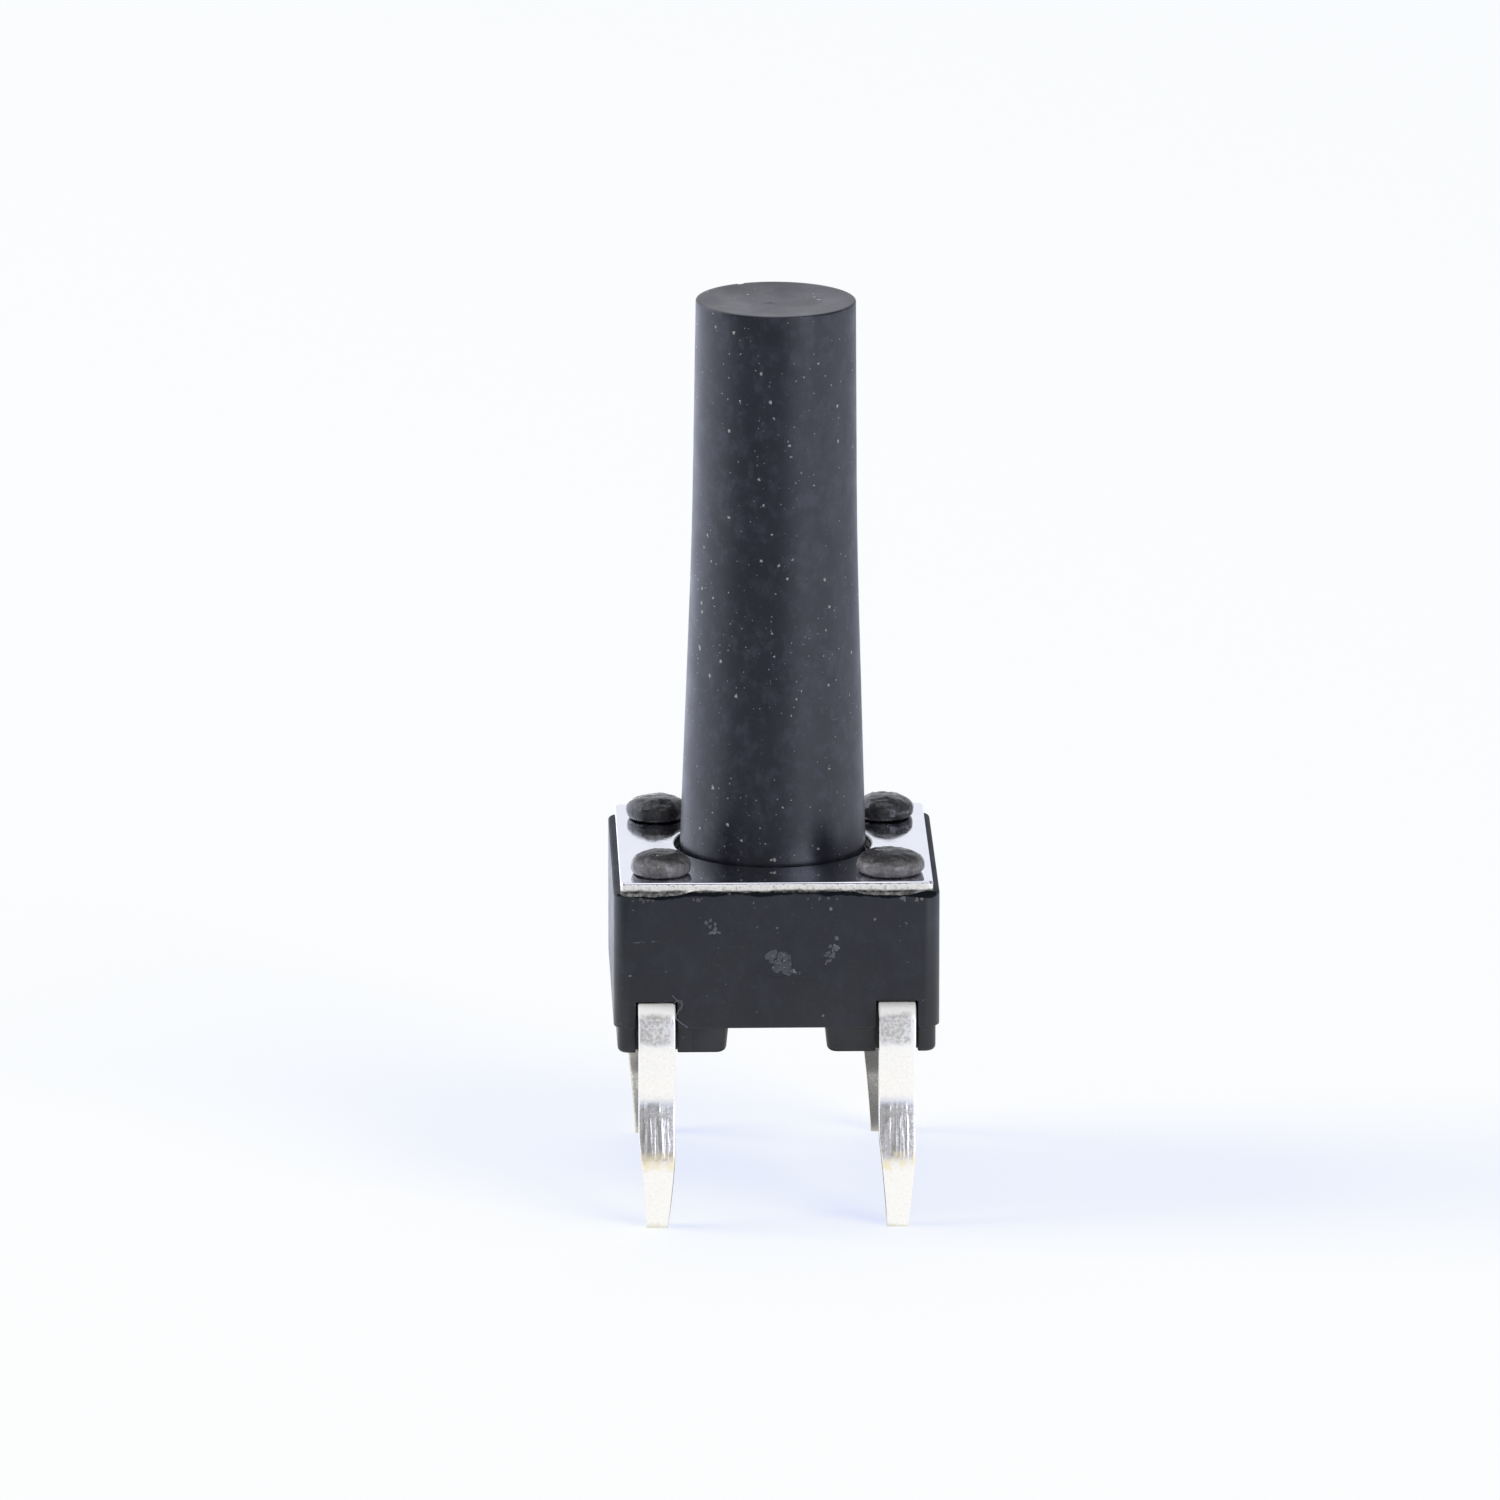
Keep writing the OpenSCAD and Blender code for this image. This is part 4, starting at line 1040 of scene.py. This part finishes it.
scar = {"centre": (0.12, 1.77), "radii": (0.38, 0.17), "turn": -34, "density": 260.0, "flake": 0.09,
        "depth": 0.008, "flat": 0.14, "seed": 11}
marks = [{"centre": (1.04, 2.0), "radii": (0.09, 0.28), "turn": -25, "density": 200.0, "flake": 0.055,
          "depth": 0.0, "flat": 0.16, "seed": 5},
         {"centre": (-1.2, 2.45), "radii": (0.1, 0.22), "turn": 30, "density": 180.0, "flake": 0.05,
          "depth": 0.0, "flat": 0.16, "seed": 8},
         {"spots": [((-2.5, 2.985), (0.25, 0.028)), ((-1.45, 3.0), (0.13, 0.02)), ((0.9, 3.0), (0.6, 0.008)),
                    ((2.52, 2.985), (0.23, 0.028))], "turn": 0, "density": 420.0, "flake": 0.04,
          "depth": 0.0, "flat": 0.22, "seed": 3}]


def patchMesh(m, y):
    # ellipses on the front face, their centres measured from the board
    steps, points = 24, []
    turn = Matrix.Rotation(math.radians(m["turn"]), 2)
    spots = m.get("spots") or [(m["centre"], m["radii"])]
    for (x, z), (rx, rz) in spots:
        for k in range(steps):
            a = 2 * math.pi * k / steps
            place = turn @ Vector((rx * math.cos(a), rz * math.sin(a)))
            points.append((x + place.x, y, boardLevel + z + place.y))
    return meshFrom("patch", points, [tuple(range(n * steps, (n + 1) * steps)) for n in range(len(spots))])


face = -base["side"] / 2
for name, mark in [("gate_scar", scar), ("mould_mark_a", marks[0]), ("mould_mark_b", marks[1]),
                   ("edge_flash", marks[2])]:
    level = face + mark["depth"]
    plastic = burrPlastic if name == "edge_flash" else flashPlastic
    flakes = grownPiece(name, patchMesh(mark, level), tornFlakes,
                        {"Density": mark["density"], "Flake size": mark["flake"], "Seed": mark["seed"],
                         "Material": plastic})
    for vertex in flakes.data.vertices:   # pressed flat against the face
        vertex.co.y = level + (vertex.co.y - level) * mark["flat"]
    finishPiece(flakes, "housing", "base", plastic, angle=60)

# thin threads of flash beside the front left notch, points in x and height above the board
threads = {"radius": 0.013, "lift": 0.008, "routes": [
    [(-1.96, 1.15), (-1.93, 1.12), (-1.85, 1.03), (-1.784, 0.974), (-1.85, 0.84), (-1.89, 0.72), (-1.80, 0.62),
     (-1.68, 0.53)],
    [(-1.93, 0.98), (-1.87, 1.05), (-1.79, 1.04), (-1.77, 0.95), (-1.82, 0.86)]]}


def threadsTree():
    sizes = [("Path", "geometry", None), ("Radius", "number", 0.013), ("Material", "material", None)]
    tree, given = newTree("flashThreads", sizes)
    line = addNode(tree, "GeometryNodeMeshToCurve", {"Mesh": given["Path"]}).outputs["Curve"]
    line = addNode(tree, "GeometryNodeSetCurveRadius", {"Curve": line, "Radius": 1.0}).outputs["Curve"]
    section = addNode(tree, "GeometryNodeCurvePrimitiveCircle", {"Resolution": 10, "Radius": given["Radius"]})
    tube = addNode(tree, "GeometryNodeCurveToMesh", {"Curve": line, "Profile Curve": section.outputs["Curve"],
                                                     "Fill Caps": True}).outputs["Mesh"]
    place = addNode(tree, "GeometryNodeInputPosition").outputs[0]
    swell = meltNoise(tree, place, 0.12, 0.004, 3)
    outward = addNode(tree, "GeometryNodeInputNormal").outputs[0]
    push = addNode(tree, "ShaderNodeVectorMath", {0: outward, "Scale": swell}, operation="SCALE").outputs[0]
    tube = addNode(tree, "GeometryNodeSetPosition", {"Geometry": tube, "Offset": push}).outputs["Geometry"]
    closeTree(tree, tube, given["Material"])
    return tree


def threadPaths(t):
    points, edges = [], []
    for route in t["routes"]:
        first = len(points)
        for x, z in smoothLine(route, 8):
            points.append((x, face - t["lift"], boardLevel + z))
        edges += [(i, i + 1) for i in range(first, len(points) - 1)]
    return meshFrom("threadPaths", points, (), edges)


threadPiece = grownPiece("flash_threads", threadPaths(threads), threadsTree(),
                         {"Radius": threads["radius"], "Material": flashPlastic})
finishPiece(threadPiece, "housing", "base", flashPlastic, angle=60)

# ---- camera, floor and light

view = {"distance": 350.0, "azimuth": -1.445, "elevation": 14.385, "target": (-0.427, 0.0, 8.345), "lens": 446.6}


def addCamera(v):
    a, e = math.radians(v["azimuth"]), math.radians(v["elevation"])
    back = Vector((math.sin(a) * math.cos(e), -math.cos(a) * math.cos(e), math.sin(e)))
    camera = bpy.data.objects.new("camera", bpy.data.cameras.new("camera"))
    camera.data.lens, camera.data.sensor_width = v["lens"], 36.0
    camera.location = (Vector(v["target"]) + back * v["distance"]) * 0.001
    camera.rotation_mode = "QUATERNION"
    camera.rotation_quaternion = (-back).to_track_quat("-Z", "Y")
    scene.collection.objects.link(camera)
    scene.camera = camera


def seenDirectly(tree):
    # 1 where the camera, a mirror or glass looks at the surface
    path = addNode(tree, "ShaderNodeLightPath").outputs
    share = calc(tree, "MAXIMUM", path["Is Camera Ray"], path["Is Glossy Ray"])
    return calc(tree, "MAXIMUM", share, path["Is Transmission Ray"])


floorLook = {
    "radius": 0.6, "white": (0.975, 0.990, 0.993), "shade": (0.43, 0.36, 0.045), "lit": 0.95, "bounce": (0.8, 0.8, 0.82),
    "under": (0.2, 0.2, 0.21), "underEnd": 3.6,
    "near": (1.0, 1.0, 0.995), "side": (1.5, 1.58, 1.9), "front": (0.5, 0.55, 0.75), "right": (0.86, 0.91, 1.08),
    "rim": (2.3, 2.35, 2.5), "nearEnd": 7.0, "farStart": 30.0,
    "frontAzimuth": -20.0, "frontReach": 42.0, "frontSoft": 16.0,
    "rightAzimuth": 140.0, "rightReach": 30.0, "rightSoft": 8.0, "rimAzimuth": -179.0, "rimReach": 8.0, "rimSoft": 5.0,
}


def facing(tree, x, y, azimuth, reach, soft):
    # 1 where the direction lies within reach of the azimuth, measured from -Y towards +X
    a = math.radians(azimuth)
    along = calc(tree, "SUBTRACT", calc(tree, "MULTIPLY", x, math.sin(a)), calc(tree, "MULTIPLY", y, math.cos(a)))
    length = calc(tree, "SQRT", calc(tree, "ADD", calc(tree, "MULTIPLY", x, x), calc(tree, "MULTIPLY", y, y)))
    share = calc(tree, "DIVIDE", along, calc(tree, "MAXIMUM", length, 0.0001))
    low, high = (math.cos(math.radians(reach + s)) for s in (soft, -soft))
    return ramp(tree, share, low, high), length


def addFloor(f):
    # white for the camera with the shadows kept; in the part's gloss the sheet is dimmer towards the front, with a
    # painted shadow under the part
    ring = [(f["radius"] * math.cos(2 * math.pi * k / 64), f["radius"] * math.sin(2 * math.pi * k / 64), 0)
            for k in range(64)]
    floor = addPiece("floor", meshFrom("floor", ring, [tuple(range(64))]))
    material, tree, shader = newMaterial("floorWhite", Roughness=1.0, Specular_IOR_Level=0.0)
    seen = seenDirectly(tree)
    glossy = addNode(tree, "ShaderNodeLightPath").outputs["Is Glossy Ray"]
    shade = mixColour(tree, glossy, f["shade"], (0.0, 0.0, 0.0))   # the gloss sees no shadow
    tree.links.new(mixColour(tree, seen, f["bounce"], shade), shader.inputs["Base Color"])
    place = addNode(tree, "ShaderNodeSeparateXYZ", {"Vector": millimetrePlace(tree)}).outputs
    front, away = facing(tree, place["X"], place["Y"], f["frontAzimuth"], f["frontReach"], f["frontSoft"])
    far = mixColour(tree, front, f["side"], f["front"])
    for key in ("right", "rim"):
        share = facing(tree, place["X"], place["Y"], f[key + "Azimuth"], f[key + "Reach"], f[key + "Soft"])[0]
        far = mixColour(tree, share, far, f[key])
    mirrored = mixColour(tree, ramp(tree, away, f["nearEnd"], f["farStart"]), f["near"], far)
    # painted shadow: in the gloss the floor under the part is painted dark
    underShadeShare = ramp(tree, away, f["underEnd"] - 0.8, f["underEnd"] + 0.8, 1.0, 0.0)
    mirrored = mixColour(tree, underShadeShare, mirrored, f["under"])
    white = tuple(w - s * f["lit"] for w, s in zip(f["white"], f["shade"]))
    tree.links.new(mixColour(tree, glossy, white, mirrored), shader.inputs["Emission Color"])
    tree.links.new(seen, shader.inputs["Emission Strength"])
    below = addNode(tree, "ShaderNodeNewGeometry").outputs["Backfacing"]
    clear = addNode(tree, "ShaderNodeBsdfTransparent").outputs[0]
    mix = addNode(tree, "ShaderNodeMixShader", {0: below, 1: shader.outputs[0], 2: clear}).outputs[0]
    tree.links.new(mix, tree.nodes["Material Output"].inputs["Surface"])
    floor.data.materials.append(material)


# what the gloss sees above the floor: a dark room with softboxes and a backdrop
skyLook = {
    "ambient": 0.3, "white": 1.0, "dark": (0.05, 0.055, 0.075), "zenith": (1.5, 1.5, 1.6), "zenithStart": 66,
    "panels": [
        {"azimuth": 180, "reach": 30, "soft": 14, "top": 44, "glow": (0.96, 0.98, 1.05)},
        {"azimuth": -118, "reach": 36, "soft": 8, "top": 55, "glow": (1.9, 1.95, 2.2)},
        {"azimuth": 0, "reach": 50, "soft": 14, "top": 46, "glow": (0.4, 0.4, 0.42)},
        {"azimuth": 118, "reach": 38, "soft": 12, "top": 44, "glow": (0.5, 0.51, 0.55)},
        {"azimuth": 38, "reach": 16, "soft": 6, "top": 48, "glow": (2.9, 3.0, 3.6)},
    ],
}


def addSky(s):
    world = bpy.data.worlds.new("studio")
    scene.world = world
    world.use_nodes = True
    tree = world.node_tree
    way = addNode(tree, "ShaderNodeTexCoord").outputs["Generated"]
    way = addNode(tree, "ShaderNodeSeparateXYZ", {"Vector": way}).outputs
    mirrored = None
    for panel in s["panels"]:
        across = facing(tree, way["X"], way["Y"], panel["azimuth"], panel["reach"], panel["soft"])[0]
        low, high = (math.sin(math.radians(panel["top"] + k)) for k in (-6, 6))
        share = calc(tree, "MULTIPLY", across, ramp(tree, way["Z"], low, high, 1.0, 0.0))
        mirrored = mixColour(tree, share, mirrored or s["dark"], panel["glow"])
    low, high = (math.sin(math.radians(s["zenithStart"] + k)) for k in (-5, 5))
    mirrored = mixColour(tree, ramp(tree, way["Z"], low, high), mirrored, s["zenith"])
    path = addNode(tree, "ShaderNodeLightPath").outputs
    ambient, white = (s["ambient"],) * 3, (s["white"],) * 3
    colour = mixColour(tree, path["Is Glossy Ray"], ambient, mirrored)
    shown = calc(tree, "MAXIMUM", path["Is Camera Ray"], path["Is Transmission Ray"])
    colour = mixColour(tree, shown, colour, white)
    tree.links.new(colour, tree.nodes["Background"].inputs["Color"])


lamps = [
    {"name": "leftSoftbox", "azimuth": -92, "elevation": 30, "distance": 0.9, "size": 0.45, "glow": 8.0},
    {"name": "rightSoftbox", "azimuth": 46, "elevation": 38, "distance": 0.9, "size": 0.45, "glow": 4.8},
    {"name": "topSoftbox", "azimuth": 180, "elevation": 78, "distance": 1.05, "size": 0.75, "glow": 0.95},
]


def addLamp(l):
    a, e = math.radians(l["azimuth"]), math.radians(l["elevation"])
    way = Vector((math.sin(a) * math.cos(e), -math.cos(a) * math.cos(e), math.sin(e)))
    light = bpy.data.lights.new(l["name"], "AREA")
    light.shape, light.size = "SQUARE", l["size"]
    light.energy = l["glow"] * math.pi * l["size"] ** 2
    lamp = bpy.data.objects.new(l["name"], light)
    lamp.location = way * l["distance"] + Vector((0, 0, 0.006))
    lamp.rotation_mode = "QUATERNION"
    lamp.rotation_quaternion = (-way).to_track_quat("-Z", "Y")
    lamp.visible_glossy = False   # gloss comes from the studio around the part
    scene.collection.objects.link(lamp)


addCamera(view)
addFloor(floorLook)
addSky(skyLook)
for lamp in lamps:
    addLamp(lamp)
scene.view_settings.view_transform = "Standard"
print("camera, floor and light set")
